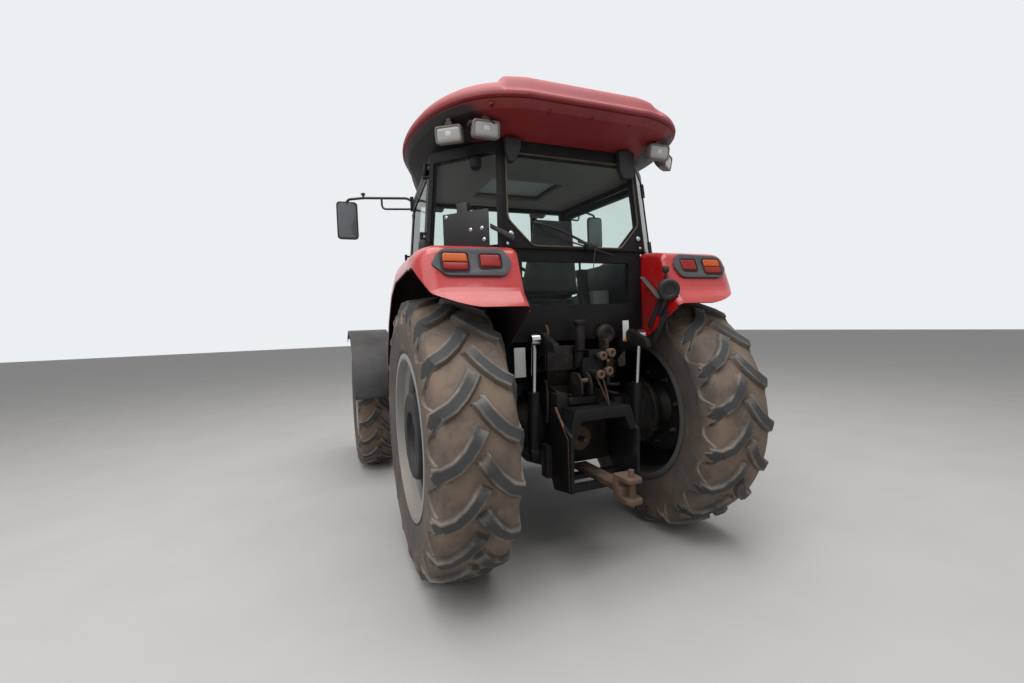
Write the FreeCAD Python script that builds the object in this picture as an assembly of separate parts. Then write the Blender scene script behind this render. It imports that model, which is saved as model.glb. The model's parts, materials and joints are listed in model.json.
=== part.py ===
import FreeCAD, Part
import math
import os

# Farm tractor with a closed cab and four driven wheels.
# All lengths are millimetres. X points forward, Y to the driver's left, Z up.
# The model is drawn from the rear axle, and save() moves it so that the origin
# lies on the ground midway between the rear tyres' backs and the nose.

V = FreeCAD.Vector
PARTS_DIR = "parts"

# Clearances
SEAT = 0.3              # a piece against the piece that carries it
RUN = 0.5               # a shaft in its bore, on the radius
MOVE = 8.0              # between pieces that move past each other

# Rear wheels
REAR_R = 850.0          # over the lugs
REAR_HALF_TRACK = 843.0
REAR_W = 467.0
REAR_LUG = 32.0
REAR_LUGS = 19          # in each of the tread's two rows
REAR_PHASE = (13.5, 3.0)        # degrees that the left and the right tread are turned
REAR_FLANGE_R = 507.0
REAR_BEAD_R = 482.6
REAR_RIM_W = 438.0
REAR_WELL = 34.0
REAR_SHAFT_R = 50.0
REAR_WEIGHT_R = 265.0
REAR_WEIGHT_T = 88.0
REAR_DISC_OUT = 112.0   # the disc stands outboard of the rim's centre plane
TRUMPET_END = 640.0
REAR_SHAFT_IN = TRUMPET_END - 90
HAND_HOLES = 8
HAND_HOLE_R = 34.0
HAND_HOLE_AT = 385.0    # from the wheel's centre

# Front wheels
WHEELBASE = 2585.0
FRONT_R = 665.0
FRONT_HALF_TRACK = 1046.0
FRONT_W = 378.0
FRONT_LUG = 28.0
FRONT_LUGS = 18
FRONT_PHASE = (5.0, 5.0)
FRONT_FLANGE_R = 378.0
FRONT_BEAD_R = 355.6
FRONT_RIM_W = 336.0
FRONT_WELL = 30.0
FRONT_SPINDLE_R = 60.0
WALL = 9.0              # rolled rim and disc steel
LUG_ROWS = (            # foot and top as shares of the half width, their drop below the crown
                        # and the lug tips as shares of the lug, low and high edge in pitches
    (0.08, 0.00, 0.08, 0.00, -0.311, 0.069),
    (0.42, 0.06, 0.43, 0.03, -0.633, -0.364),
    (0.81, 0.64, 0.91, 0.92, -0.839, -0.628))
LUG_END = (0.50, -0.908, -0.707)        # share of the sidewall's height, low and high edge
LUG_FLANK = 0.047       # pitches that a lug's foot reaches past its top

# Front axle and steering
KINGPIN_Y = 790.0
KINGPIN_R = 32.0
AXLE_EYE_R = 72.0
AXLE_EYE_H = 210.0
YOKE_T = 34.0
STEER_ARM = 265.0
STEER_ROD_R = 20.0
STEER_CYL_R = 42.0
STEER_ROD_LIFT = 62.0

# Driveline and engine
HOUSING_HALF_W = 230.0
HOUSING_REAR = -235.0
HOUSING_FRONT = 1500.0
HOUSING_TOP = 1110.0
ENGINE_FRONT = WHEELBASE - 321
ENGINE_LOW = 590.0
ENGINE_HALF_W = 235.0
ENGINE_TOP = 1290.0
NOSE_X = WHEELBASE + 895
BOLSTER_HALF_W = 180.0
BOLSTER_TOP = FRONT_R + 235
BOLSTER_FRONT = NOSE_X - 150
SADDLE_REAR = WHEELBASE - 173
SADDLE_FRONT = WHEELBASE + 173
TRANSFER_FRONT = 1260.0
TRANSFER_Z = 505.0      # centre of the drive shaft where it leaves the transfer case
DRIVE_SHAFT_R = 38.0
DRIVE_SHAFT_ROOM = 8.0  # clear of the engine all round
RADIATOR_TOP = 1440.0

# Front fenders
FRONT_FENDER_IN = 872.0
FRONT_FENDER_OUT = 1272.0
FRONT_FENDER_R = FRONT_R + 173
FRONT_FENDER_SKIN = 6.0
FRONT_FENDER_LIP = 46.0
FRONT_FENDER_ARC = (62.0, 168.0)        # degrees up from straight ahead

# Side equipment under the cab
TANK_FRONT = 1560.0
TANK_REAR = 1010.0
TANK_OUT = 570.0

# Hood
HOOD_REAR = 1420.0
HOOD_HALF_W = 335.0
HOOD_NOSE_HALF_W = 285.0
HOOD_TOP_REAR = 1760.0
HOOD_TOP_NOSE = 1590.0
HOOD_SKIRT = 1130.0
HOOD_SKIN = 10.0
HOOD_SECTIONS = (       # x, half width, bottom, shoulder height, top
    (HOOD_REAR, HOOD_HALF_W, HOOD_SKIRT, 1590.0, HOOD_TOP_REAR),
    (NOSE_X - 640, 318.0, HOOD_SKIRT, 1520.0, 1688.0),
    (NOSE_X - 470, 312.0, 930.0, 1500.0, 1668.0),
    (NOSE_X - 180, HOOD_NOSE_HALF_W, 930.0, 1440.0, HOOD_TOP_NOSE),
    (NOSE_X - 80, 225.0, 960.0, 1380.0, 1490.0))
HOOD_PIN = (1446.0, 1700.0)
HOOD_PIN_R = 14.0
GRILLE = (195.0, 985.0, 1330.0)         # half width, low, high
GRILLE_X = (NOSE_X - 94, NOSE_X - 82)
HEADLAMP = (60.0, 195.0, 1352.0, 1432.0)        # inner and outer edge, low, high

# Cab: corner lines of the glasshouse, low and high
CAB_LOW = 1965.0
CAB_TOP = 2625.0
FLOOR_Z = 1170.0
REAR_X = (-305.0, -243.0)
REAR_Y = (510.0, 479.0)
B_X = (91.0, 117.0)
B_MID_Y = 856.0
A_X = (1250.0, 1216.0)
A_MID_Y = 770.0
A_FOOT = (1330.0, 640.0)
PILLAR = 62.0           # face width of the cab's posts and rails
WALL_T = 46.0           # their depth
GLASS = 6.0
DOOR_T = 34.0
DOOR_FRAME = 48.0
DOOR_GAP = 7.0
RAIL = 58.0             # height of the rails over the doors
DOOR_SILL = FLOOR_Z + 14
DOOR_TOP = CAB_TOP - RAIL - DOOR_GAP - 3
HINGE_OUT = 24.0
HINGE_AHEAD = 30.0
HINGE_R = 13.0
HINGE_LEN = 70.0
HINGE_SHARES = (0.16, 0.84)     # along the hinge line from its low end
PANE_SUNK = 5.0         # the panes' outer face under the posts' outer face
REAR_GLASS = [(-313, CAB_LOW + 20), (313, CAB_LOW + 20), (462, CAB_LOW + 176),
              (446, CAB_TOP - 85), (-446, CAB_TOP - 85), (-462, CAB_LOW + 176)]
LOWER_GLASS = (385.0, 1625.0, 1890.0)   # half width, low, high
REAR_WALL_X = -290.0
REAR_WALL_T = 36.0
LOWER_WALL_HALF_W = 484.0
SHELF_Z = 1430.0        # the floor's raised rear part, over the lift
SHELF_X = 45.0

# Seat and steering wheel
CUSHION_LOW = 1560.0
CUSHION_TOP = 1690.0
STEER_WHEEL_R = 205.0
STEER_WHEEL_AT = (905.0, 0.0, 1955.0)
STEER_WHEEL_TILT = 32.0         # degrees back from the vertical
STEER_SHAFT_R = 14.0

# Roof
ROOF_RIM_Z = CAB_TOP + 135
ROOF_RISE = 130.0       # the dome's top above the rim
ROOF_PANEL_PROUD = 30.0
ROOF_PANEL_HALF_W = 516.0
ROOF_REAR_X = -522.0
ROOF_REAR_HALF_W = 430.0
ROOF_CENTRE_X = 500.0
ROOF_NOSE_X = 1585.0
ROOF_EDGE = (           # the left edge from back to front: a point on the arc or None, the end
    ((-460.0, 618.0), (-365.0, 740.0)),
    ((-210.0, 843.0), (0.0, 912.0)),
    ((390.0, 945.0), (760.0, 876.0)),
    (None, (1000.0, 790.0)),
    ((1250.0, 722.0), (1480.0, 650.0)))
ROOF_TOP = ROOF_RIM_Z + ROOF_RISE
ROOF_UNDER = (          # height, size of the plan outline there
    (CAB_TOP + SEAT, 0.745), (ROOF_RIM_Z - 52, 0.952), (ROOF_RIM_Z - 10, 0.984), (ROOF_RIM_Z + 6, 1.0))
ROOF_DOME = (           # share of the dome's rise, size of the plan outline there
    (0.18, 0.999), (0.36, 0.988), (0.55, 0.968), (0.74, 0.938), (0.90, 0.895), (1.0, 0.845))
ROOF_RAISED = (         # shares of the rise and of the panel's height, size of the plan outline
    (0.29, 0.0, 0.965), (0.66, 0.0, 0.945), (1.0, 0.0, 0.920), (1.0, 0.77, 0.889), (1.0, 1.0, 0.860))
HATCH = (400.0, 900.0, 300.0)       # rear edge, front edge, half width

# Rear fenders
FENDER_IN = 490.0
FENDER_OUT = 1072.0
FENDER_SKIN = 8.0
FENDER_SKIRT = 165.0
FENDER_ROUND = 150.0    # radius of the outer edge
FENDER_INNER_ROUND = 40.0
FENDER_TOP = CAB_LOW - SEAT
FENDER_LINE = (         # x, z, radius of the bend there
    (-655, 1606, 0), (-600, 1726, 0), (-335, FENDER_TOP, 200),
    (210, FENDER_TOP, 400), (480, 1860, 400), (720, 1650, 400), (890, 1370, 400), (955, 1120, 0))
FENDER_LIP = ((600, 1604), (930, 1664), (1090, 1800))       # y, z of its rear edge, seen from behind

# Lamps
SURROUND_ALONG = 182.0          # its middle, up the fender's rear slope from the ridge
SURROUND_Y = 765.0
SURROUND_H = 150.0
SURROUND_W = 410.0
SURROUND_T = 14.0
LAMP_WELL = 9.0         # depth of the wells in it
LENS_T = 7.0
LAMP_WELLS = (          # across, up the slope from the surround's middle, height, width
    (841.0, 6.0, 117.0, 165.0), (668.0, 10.0, 75.0, 125.0))
TAIL_LAMPS = ((855.0, 2.0, 93.0, 130.0), (676.0, 7.0, 60.0, 104.0))
WORK_LAMPS = (          # x, y, turn outwards in degrees, -1 facing back or 1 facing ahead
    (-366.0, 604.0, 0.0, -1), (-232.0, 795.0, 35.0, -1),
    (1385.0, 520.0, 0.0, 1))
WORK_LAMP_Z = CAB_TOP - 3

# Mirrors
MIRROR_Y = 1277.0
MIRROR_X = 1490.0
MIRROR_Z = 2475.0
MIRROR_W = 185.0
MIRROR_H = 335.0

# Rear interfaces
PTO_R = 17.46
PTO_Z = 760.0
PTO_END = -330.0
HITCH_PLATE_Y = 228.0
HITCH_PLATE_T = 22.0
TOP_LINK_R = 13.0
TOP_LINK_AT = (-305.0, 1085.0)
DRAWBAR_LOW = 562.0
LIFT_AT = (-190.0, 1235.0)
LIFT_EYE = (-400.0, 1418.0)
LIFT_ARM_Y = (292.0, 330.0)
LIFT_SHAFT_R = 42.0
RAM_Y = 372.0
RAM_R = 34.0
RAM_ROD_R = 16.0
RAM_FOOT = (-330.0, 735.0)
RAM_TOP_Z = 1105.0
COUPLERS = (            # y, z
    (-48.0, 1300.0), (-92.0, 1300.0), (6.0, 1205.0), (-44.0, 1205.0))
CONTROL_BOX = (60.0, 370.0, 1967.0, 2190.0)     # from the rear post along the window, and height

ORIGIN_X = (NOSE_X - REAR_R) / 2


def box(x0, x1, y0, y1, z0, z1):
    return Part.makeBox(x1 - x0, y1 - y0, z1 - z0, V(x0, y0, z0))


def both(y0, y1):
    """The band between y0 and y1 and its mirror image, each as (low, high)."""
    return ((y0, y1), (-y1, -y0))


def rod(start, end, radius):
    start, end = V(*start), V(*end)
    run = end - start
    return Part.makeCylinder(radius, run.Length, start, run)


def face_of(points):
    corners = [V(*point) for point in points]
    return Part.Face(Part.makePolygon(corners + corners[:1]))


def side_plate(outline, y0, y1):
    """An (x, z) outline made solid from y0 to y1."""
    return face_of([(x, y0, z) for x, z in outline]).extrude(V(0, y1 - y0, 0))


def end_plate(outline, x0, x1):
    """A (y, z) outline made solid from x0 to x1."""
    return face_of([(x0, y, z) for y, z in outline]).extrude(V(x1 - x0, 0, 0))


def flat_plate(outline, z0, z1):
    """An (x, y) outline made solid from z0 to z1."""
    return face_of([(x, y, z0) for x, y in outline]).extrude(V(0, 0, z1 - z0))


def turned(profile, x, z):
    """A (y, radius) profile turned about the line along Y through x, z."""
    face = face_of([(x, y, z + radius) for y, radius in profile])
    return face.revolve(V(x, 0, z), V(0, 1, 0), 360)


def strut(start, end, width, depth, across=(0, 1, 0)):
    """A straight bar of rectangular section, its depth square to across."""
    start, end = V(*start), V(*end)
    run = end - start
    side = V(*across)
    along = V(run).normalize()
    normal = along.cross(side).normalize()
    side = normal.cross(along).normalize()
    corners = []
    for u, v in ((-1, -1), (1, -1), (1, 1), (-1, 1)):
        corners.append(start + side * (u * width / 2) + normal * (v * depth / 2))
    return Part.Face(Part.makePolygon(corners + corners[:1])).extrude(run)


def arc(start, middle, end):
    return Part.Arc(V(*start), V(*middle), V(*end)).toShape()


def rounded_line(points, radii, y):
    """Edges through (x, z) points in the plane at y, each bend rounded by its radius."""
    edges, here = [], V(points[0][0], y, points[0][1])
    for index in range(1, len(points) - 1):
        before, corner, after = [V(x, y, z) for x, z in points[index - 1:index + 2]]
        back, ahead = (before - corner).normalize(), (after - corner).normalize()
        half_turn = (math.pi - back.getAngle(ahead)) / 2
        reach = radii[index] * math.tan(half_turn)
        if reach > 0:
            start, end = corner + back * reach, corner + ahead * reach
            middle = corner + (back + ahead).normalize() * (radii[index] * (1 / math.cos(half_turn) - 1))
            edges += [Part.makeLine(here, start), arc(start, middle, end)]
            here = end
        else:
            edges.append(Part.makeLine(here, corner))
            here = corner
    return edges + [Part.makeLine(here, V(points[-1][0], y, points[-1][1]))]


def fuse(shapes):
    shapes = list(shapes)
    if len(shapes) == 1:
        return shapes[0]
    return shapes[0].multiFuse(shapes[1:]).removeSplitter()


def mirrored(shape):
    return shape.mirror(V(0, 0, 0), V(0, 1, 0))


def pair(shape):
    return Part.makeCompound([shape, mirrored(shape)])


def save(name, shape):
    shape = shape.copy()
    shape.translate(V(-ORIGIN_X, 0, 0))
    shape.exportStep(os.path.join(PARTS_DIR, name + ".step"))
    print(name, len(shape.Solids), "solids", round(shape.Volume / 1e6, 2), "litres", shape.isValid())


# Wheels

def wheel_point(radius, y, angle):
    """A point round the Y axis, its angle measured up from straight back."""
    return V(-radius * math.cos(angle), y, radius * math.sin(angle))


def strip(low, high, pattern):
    """Triangles between two closed rings, matched by a pattern of steps for each pitch.

    Each step names the ring whose next point closes a triangle.
    """
    triangles = []
    at_low = at_high = 0
    while at_low < len(low) or at_high < len(high):
        for step in pattern:
            here, there = low[at_low % len(low)], high[at_high % len(high)]
            if step == "low":
                at_low += 1
                triangles.append((here, low[at_low % len(low)], there))
            else:
                at_high += 1
                triangles.append((here, high[at_high % len(high)], there))
    return triangles


EVEN = ("low", "high")


def tread_half(radius, width, lug, flange_r, bead_r, rim_w, count, turn, side):
    """The rings of one side of a tyre, each as its points round the wheel."""
    half, crown = width / 2, radius - lug
    pitch = 2 * math.pi / count
    inner = rim_w / 2 - WALL - SEAT
    corner = 1 / math.cos(pitch / 2)        # from a flat's middle out to its corners
    rings = []
    for foot_y, foot_drop, top_y, top_drop, low, high in LUG_ROWS:
        foot, top = crown - foot_drop * lug, radius - top_drop * lug
        across = ((low - LUG_FLANK, foot_y, foot), (low, top_y, top), (high, top_y, top),
                  (high + LUG_FLANK, foot_y, foot))
        rings.append([wheel_point(r, side * y * half, turn + (index + share) * pitch)
                      for index in range(count) for share, y, r in across])
    wall_share, low, high = LUG_END
    wall_r = flange_r + (crown - flange_r) * wall_share
    rings.append([wheel_point(wall_r, side * half, turn + (index + share) * pitch)
                  for index in range(count) for share in (low, high)])
    middle = (low + high) / 2
    for y, r in ((inner, flange_r + 12), (inner, (bead_r + SEAT) * corner),
                 (inner - 26, (bead_r + SEAT) * corner), (half - 22, wall_r - 30),
                 (half * 0.82, crown - 30)):
        rings.append([wheel_point(r, side * y, turn + (index + middle) * pitch) for index in range(count)])
    return rings


def tyre(radius, width, lug, flange_r, bead_r, rim_w, count, phase, y, x, z):
    """A tractor tyre with two rows of lugs set as arrow heads, in flat facets."""
    pitch = 2 * math.pi / count
    start = math.radians(phase)
    first_low, first_high = LUG_ROWS[0][4:]
    centre_from = start + pitch * (first_low + first_high) / 2 - pitch * 3 / 8
    centre = [wheel_point(radius - lug, 0, centre_from + pitch * index / 4) for index in range(4 * count)]
    triangles = []
    inside = []
    for side in (1, -1):
        rings = tread_half(radius, width, lug, flange_r, bead_r, rim_w, count,
                           start + (0 if side > 0 else pitch / 2), side)
        middle = centre if side > 0 else centre[2:] + centre[:2]
        rows = len(LUG_ROWS)
        for low, high in zip([middle] + rings[:rows - 1], rings[:rows]):
            triangles += strip(low, high, EVEN)
        triangles += strip(rings[rows - 1], rings[rows], ("low", "low", "high", "low", "low", "high"))
        triangles += strip(rings[rows], rings[rows + 1], ("low", "low", "high"))
        for low, high in zip(rings[rows + 1:], rings[rows + 2:]):
            triangles += strip(low, high, EVEN)
        inside.append(rings[-1])
    triangles += strip(inside[0], inside[1], EVEN)
    faces = [Part.Face(Part.makePolygon([a, b, c, a])) for a, b, c in triangles]
    solid = Part.makeSolid(Part.makeShell(faces))
    if solid.Volume < 0:
        solid.reverse()
    solid.translate(V(x, y, z))
    return solid


def rim(flange_r, bead_r, rim_w, well, y, x, z):
    """The rolled rim: flanges, bead seats and the stepped well between them."""
    half = rim_w / 2
    steps = [
        (-half, flange_r), (-half + WALL, flange_r), (-half + WALL, bead_r),
        (-half + 60, bead_r), (-half + 80, bead_r - well), (half - 80, bead_r - well),
        (half - 60, bead_r), (half - WALL, bead_r), (half - WALL, flange_r), (half, flange_r),
        (half, bead_r - WALL), (half - 55, bead_r - WALL), (half - 75, bead_r - well - WALL),
        (-half + 75, bead_r - well - WALL), (-half + 55, bead_r - WALL), (-half, bead_r - WALL),
    ]
    return turned([(y + offset, radius) for offset, radius in steps], x, z)


def rear_rim():
    """The left rear rim with its dished disc, cast centre and half shaft."""
    x, z = 0.0, REAR_R
    y = REAR_HALF_TRACK
    disc_y = y + REAR_DISC_OUT
    barrel_in = REAR_BEAD_R - REAR_WELL - WALL
    dish = turned([
        (disc_y - 62, barrel_in + 4), (disc_y - 62 + WALL, barrel_in + 4),
        (disc_y, 330), (disc_y, REAR_SHAFT_R + 20),
        (disc_y - WALL, REAR_SHAFT_R + 20), (disc_y - WALL, 326)], x, z)
    hand_holes = []
    for index in range(HAND_HOLES):
        turn = 2 * math.pi * (index + 0.5) / HAND_HOLES
        hole_x, hole_z = x + HAND_HOLE_AT * math.sin(turn), z + HAND_HOLE_AT * math.cos(turn)
        hand_holes.append(rod((hole_x, disc_y - 120, hole_z), (hole_x, disc_y + 60, hole_z), HAND_HOLE_R))
    dish = dish.cut(Part.makeCompound(hand_holes))
    centre = turned([
        (disc_y - WALL, 0), (disc_y - WALL, 250), (disc_y - 45, 250), (disc_y - 70, 205),
        (disc_y - 150, 150), (disc_y - 215, 120), (disc_y - 215, REAR_SHAFT_R),
        (REAR_SHAFT_IN, REAR_SHAFT_R), (REAR_SHAFT_IN, 0)], x, z)
    return fuse([rim(REAR_FLANGE_R, REAR_BEAD_R, REAR_RIM_W, REAR_WELL, y, x, z), dish, centre])


def rear_weight():
    """A cast ring weight bolted to the outside of the left rear disc."""
    back = REAR_HALF_TRACK + REAR_DISC_OUT + SEAT
    front = back + REAR_WEIGHT_T
    return turned([
        (back, 90), (back, REAR_WEIGHT_R - 12), (back + 14, REAR_WEIGHT_R),
        (front - 12, REAR_WEIGHT_R), (front, REAR_WEIGHT_R - 12), (front, 150),
        (front - 30, 138), (front - 30, 90)], 0.0, REAR_R)


def front_rim():
    """The left front rim, its disc and the hub drum that turns on the spindle."""
    x, z = WHEELBASE, FRONT_R
    y = FRONT_HALF_TRACK
    disc_y = y + 20
    barrel_in = FRONT_BEAD_R - FRONT_WELL - WALL
    disc = turned([
        (disc_y - 40, barrel_in + 4), (disc_y - 40 + WALL, barrel_in + 4), (disc_y, 230),
        (disc_y, 150), (disc_y - WALL, 150), (disc_y - WALL, 226)], x, z)
    hub_in = KINGPIN_Y + AXLE_EYE_R + 70
    hub = turned([
        (hub_in, FRONT_SPINDLE_R + RUN), (hub_in, 135), (disc_y - 60, 150),
        (disc_y - WALL, 165), (disc_y + 14, 165), (disc_y + 14, 130), (disc_y + 95, 112),
        (disc_y + 105, 60), (disc_y + 105, 0), (disc_y + 40, 0),
        (disc_y + 40, FRONT_SPINDLE_R + RUN)], x, z)
    return fuse([rim(FRONT_FLANGE_R, FRONT_BEAD_R, FRONT_RIM_W, FRONT_WELL, y, x, z), disc, hub])


# Driveline

def transmission():
    """The gearbox and rear axle centre housing, which is the tractor's backbone."""
    rear = side_plate([
        (HOUSING_REAR, 600), (120, 540), (430, 600), (430, HOUSING_TOP - 20),
        (200, HOUSING_TOP), (HOUSING_REAR, HOUSING_TOP)], -HOUSING_HALF_W, HOUSING_HALF_W)
    bell_rear = HOUSING_FRONT - 290
    middle = box(430, bell_rear, -185, 185, 600, HOUSING_TOP - 60)
    bell = end_plate([
        (-ENGINE_HALF_W, 640), (-120, 570), (120, 570), (ENGINE_HALF_W, 640),
        (ENGINE_HALF_W, HOUSING_TOP - 60), (160, HOUSING_TOP), (-160, HOUSING_TOP),
        (-ENGINE_HALF_W, HOUSING_TOP - 60)], bell_rear, HOUSING_FRONT)
    transfer = box(TRANSFER_FRONT - 280, TRANSFER_FRONT, -110, 110, TRANSFER_Z - 65, TRANSFER_Z + 115)
    return fuse([rear, middle, bell, transfer])


def rear_axle():
    """The left trumpet housing, bored at its outer end for the half shaft."""
    x, z = 0.0, REAR_R
    trumpet = turned([
        (HOUSING_HALF_W, 0), (HOUSING_HALF_W, 215), (HOUSING_HALF_W + 40, 215),
        (HOUSING_HALF_W + 60, 175), (TRUMPET_END - 60, 120), (TRUMPET_END - 40, 140),
        (TRUMPET_END, 140), (TRUMPET_END, REAR_SHAFT_R + RUN),
        (REAR_SHAFT_IN - MOVE, REAR_SHAFT_R + RUN), (REAR_SHAFT_IN - MOVE, 0)], x, z)
    return pair(trumpet)


def drive_shaft(radius):
    """The shaft from the transfer case into the front axle."""
    return rod((TRANSFER_FRONT + MOVE, 0, TRANSFER_Z), (WHEELBASE, 0, FRONT_R - 120), radius)


def engine():
    block = box(HOUSING_FRONT, ENGINE_FRONT, -ENGINE_HALF_W, ENGINE_HALF_W, ENGINE_LOW, ENGINE_TOP)
    return block.cut(drive_shaft(DRIVE_SHAFT_R + DRIVE_SHAFT_ROOM))


def front_bolster():
    """The cast support ahead of the engine, with its saddle and weight carrier."""
    beam_z = FRONT_R
    under, roof = beam_z + 125, beam_z + 180
    leg_rear, leg_front = SADDLE_REAR - 44, SADDLE_FRONT + 72
    body = side_plate([
        (ENGINE_FRONT, under), (leg_rear, under), (leg_rear, beam_z - 25), (SADDLE_REAR, beam_z - 25),
        (SADDLE_REAR, roof), (SADDLE_FRONT, roof), (SADDLE_FRONT, beam_z - 65), (leg_front, beam_z - 65),
        (BOLSTER_FRONT - 130, beam_z + 35), (BOLSTER_FRONT, beam_z + 35), (BOLSTER_FRONT, BOLSTER_TOP),
        (ENGINE_FRONT, BOLSTER_TOP)], -BOLSTER_HALF_W, BOLSTER_HALF_W)
    half, low, high = 250, beam_z - 10, beam_z + 195
    carrier = box(BOLSTER_FRONT, NOSE_X, -half, half, low, high)
    slot = box(BOLSTER_FRONT + 40, NOSE_X + 1, -half - 1, half + 1, low + 45, high - 48)
    return fuse([body, carrier.cut(slot)])


def front_axle():
    """The driven front axle beam, with an eye at each end for the kingpins."""
    x, z = WHEELBASE, FRONT_R
    beam_end = KINGPIN_Y - AXLE_EYE_R + 12
    half = turned([
        (0, 0), (0, 165), (70, 160), (150, 100), (250, 82), (beam_end, 66), (beam_end, 0)], x, z)
    eye = Part.makeCylinder(AXLE_EYE_R, AXLE_EYE_H, V(x, KINGPIN_Y, z - AXLE_EYE_H / 2))
    bore = Part.makeCylinder(KINGPIN_R + RUN, AXLE_EYE_H + 2, V(x, KINGPIN_Y, z - AXLE_EYE_H / 2 - 1))
    side = fuse([half, eye]).cut(bore)
    trunnion = rod((SADDLE_REAR, 0, z + 75), (SADDLE_FRONT, 0, z + 75), 55)
    return fuse([side, mirrored(side), trunnion, drive_shaft(DRIVE_SHAFT_R)])


def steering_cylinder(axle):
    """The steering ram's barrel, strapped behind the axle beam."""
    x = WHEELBASE - STEER_ARM
    z = FRONT_R + STEER_ROD_LIFT
    end = BOLSTER_HALF_W + 52
    bore = rod((x, -end - 1, z), (x, end + 1, z), STEER_ROD_R + RUN)
    pieces = [rod((x, -end, z), (x, end, z), STEER_CYL_R)]
    for y0, y1 in both(BOLSTER_HALF_W + MOVE, end - 4):
        pieces.append(box(x, WHEELBASE - 60, y0, y1, z - 34, z + 24).cut(axle))
    return fuse(pieces).cut(bore)


def steering_rod():
    """The ram's through rod, with a ball eye above each steering arm."""
    x = WHEELBASE - STEER_ARM
    z = FRONT_R + STEER_ROD_LIFT
    end = KINGPIN_Y - 12
    bar = rod((x, -end, z), (x, end, z), STEER_ROD_R)
    eyes = []
    for side in (-1, 1):
        eyes.append(Part.makeCylinder(31, 46, V(x, side * (end + 12), z - 23)))
    return fuse([bar] + eyes)


def knuckle():
    """The left swivel housing: a yoke round the axle eye, spindle and steering arm."""
    x, z = WHEELBASE, FRONT_R
    gap = AXLE_EYE_H / 2 + MOVE
    outer = KINGPIN_Y + AXLE_EYE_R + MOVE
    plates = []
    for low in (z + gap, z - gap - YOKE_T):
        plate = Part.makeCylinder(64, YOKE_T, V(x, KINGPIN_Y, low))
        arm = box(x - 64, x + 64, KINGPIN_Y, outer + 40, low, low + YOKE_T)
        plates += [plate, arm]
    web = rod((x, outer, z), (x, outer + 50, z), gap + YOKE_T)
    pins = [
        Part.makeCylinder(KINGPIN_R, 70 + MOVE, V(x, KINGPIN_Y, z + AXLE_EYE_H / 2 - 70)),
        Part.makeCylinder(KINGPIN_R, 70 + MOVE, V(x, KINGPIN_Y, z - AXLE_EYE_H / 2 - MOVE)),
    ]
    spindle = rod((x, outer + 40, z), (x, FRONT_HALF_TRACK + 45, z), FRONT_SPINDLE_R)
    arm_x = x - STEER_ARM
    arm_low = z - gap - YOKE_T
    arm = flat_plate([
        (x, KINGPIN_Y - 60), (x, KINGPIN_Y + 60), (arm_x, KINGPIN_Y + 34), (arm_x, KINGPIN_Y - 34)],
        arm_low, arm_low + YOKE_T)
    riser = Part.makeCylinder(34, z + STEER_ROD_LIFT - 23 - MOVE - arm_low, V(arm_x, KINGPIN_Y, arm_low))
    return fuse(plates + [web] + pins + [spindle, arm, riser])


def arc_band(x, z, outer_r, inner_r, y0, y1):
    """A band between two radii round x, z, over the front fender's arc, from y0 to y1."""
    start, end = [math.radians(angle) for angle in FRONT_FENDER_ARC]
    outer, inner = [[V(x + radius * math.cos(turn), y0, z + radius * math.sin(turn))
                     for turn in (start, (start + end) / 2, end)] for radius in (outer_r, inner_r)]
    edges = [
        Part.Arc(*outer).toShape(), Part.makeLine(outer[2], inner[2]),
        Part.Arc(*inner[::-1]).toShape(), Part.makeLine(inner[0], outer[0])]
    return Part.Face(Part.Wire(edges)).extrude(V(0, y1 - y0, 0))


def front_fender():
    """The left front fender, an arc over the tyre carried on a bent tube."""
    x, z = WHEELBASE, FRONT_R
    tube_r = 22
    inner_r = FRONT_FENDER_R - FRONT_FENDER_SKIN
    skin = arc_band(x, z, FRONT_FENDER_R, inner_r, FRONT_FENDER_IN, FRONT_FENDER_OUT)
    lips = [arc_band(x, z, FRONT_FENDER_R, FRONT_FENDER_R - FRONT_FENDER_LIP, y0, y0 + FRONT_FENDER_SKIN)
            for y0 in (FRONT_FENDER_IN, FRONT_FENDER_OUT - FRONT_FENDER_SKIN)]
    foot_z = z + AXLE_EYE_H / 2 + MOVE + YOKE_T
    foot_x, beam_x = x - 30, x - 100
    post_y = KINGPIN_Y + 30
    top = z + inner_r * math.sin(math.radians(105)) - 30
    post = rod((foot_x, post_y, foot_z + 6), (beam_x, post_y, top), tube_r)
    arm = rod((beam_x, post_y, top), (beam_x, FRONT_FENDER_OUT - 60, top), tube_r)
    tie = box(beam_x - 30, beam_x + 30, FRONT_FENDER_IN + 40, FRONT_FENDER_OUT - 80, top, top + 60)
    under = Part.makeCylinder(FRONT_FENDER_R - 1, 1000, V(x, 500, z), V(0, 1, 0))
    foot = Part.makeCylinder(40, 16, V(foot_x, post_y, foot_z))
    return fuse([skin, post, arm, tie.common(under), foot] + lips)


# Side equipment under the cab

def fuel_tank():
    """The moulded tank on the left and the battery box on the right."""
    outline = [(TANK_REAR, 640), (TANK_REAR + 70, 560), (TANK_FRONT - 40, 560), (TANK_FRONT, 610),
               (TANK_FRONT, 1020), (TANK_REAR + 60, 1020), (TANK_REAR, 960)]
    tank = side_plate(outline, ENGINE_HALF_W + SEAT, TANK_OUT)
    long_edges = [edge for edge in tank.Edges if abs(edge.tangentAt(edge.FirstParameter).y) > 0.9]
    return tank.makeFillet(28, long_edges)


def steps():
    """The left flight of steps: two side plates and three treads."""
    flight = []
    x0, x1 = 1070.0, 1500.0
    inner = TANK_OUT + SEAT
    for x in (x0, x1 - 8):
        flight.append(box(x, x + 8, inner, inner + 110, 500, HOUSING_TOP))
    for z, depth in ((500, 190), (760, 150), (1010, 120)):
        flight.append(box(x0, x1, inner, inner + depth, z, z + 26))
    return fuse(flight)


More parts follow.
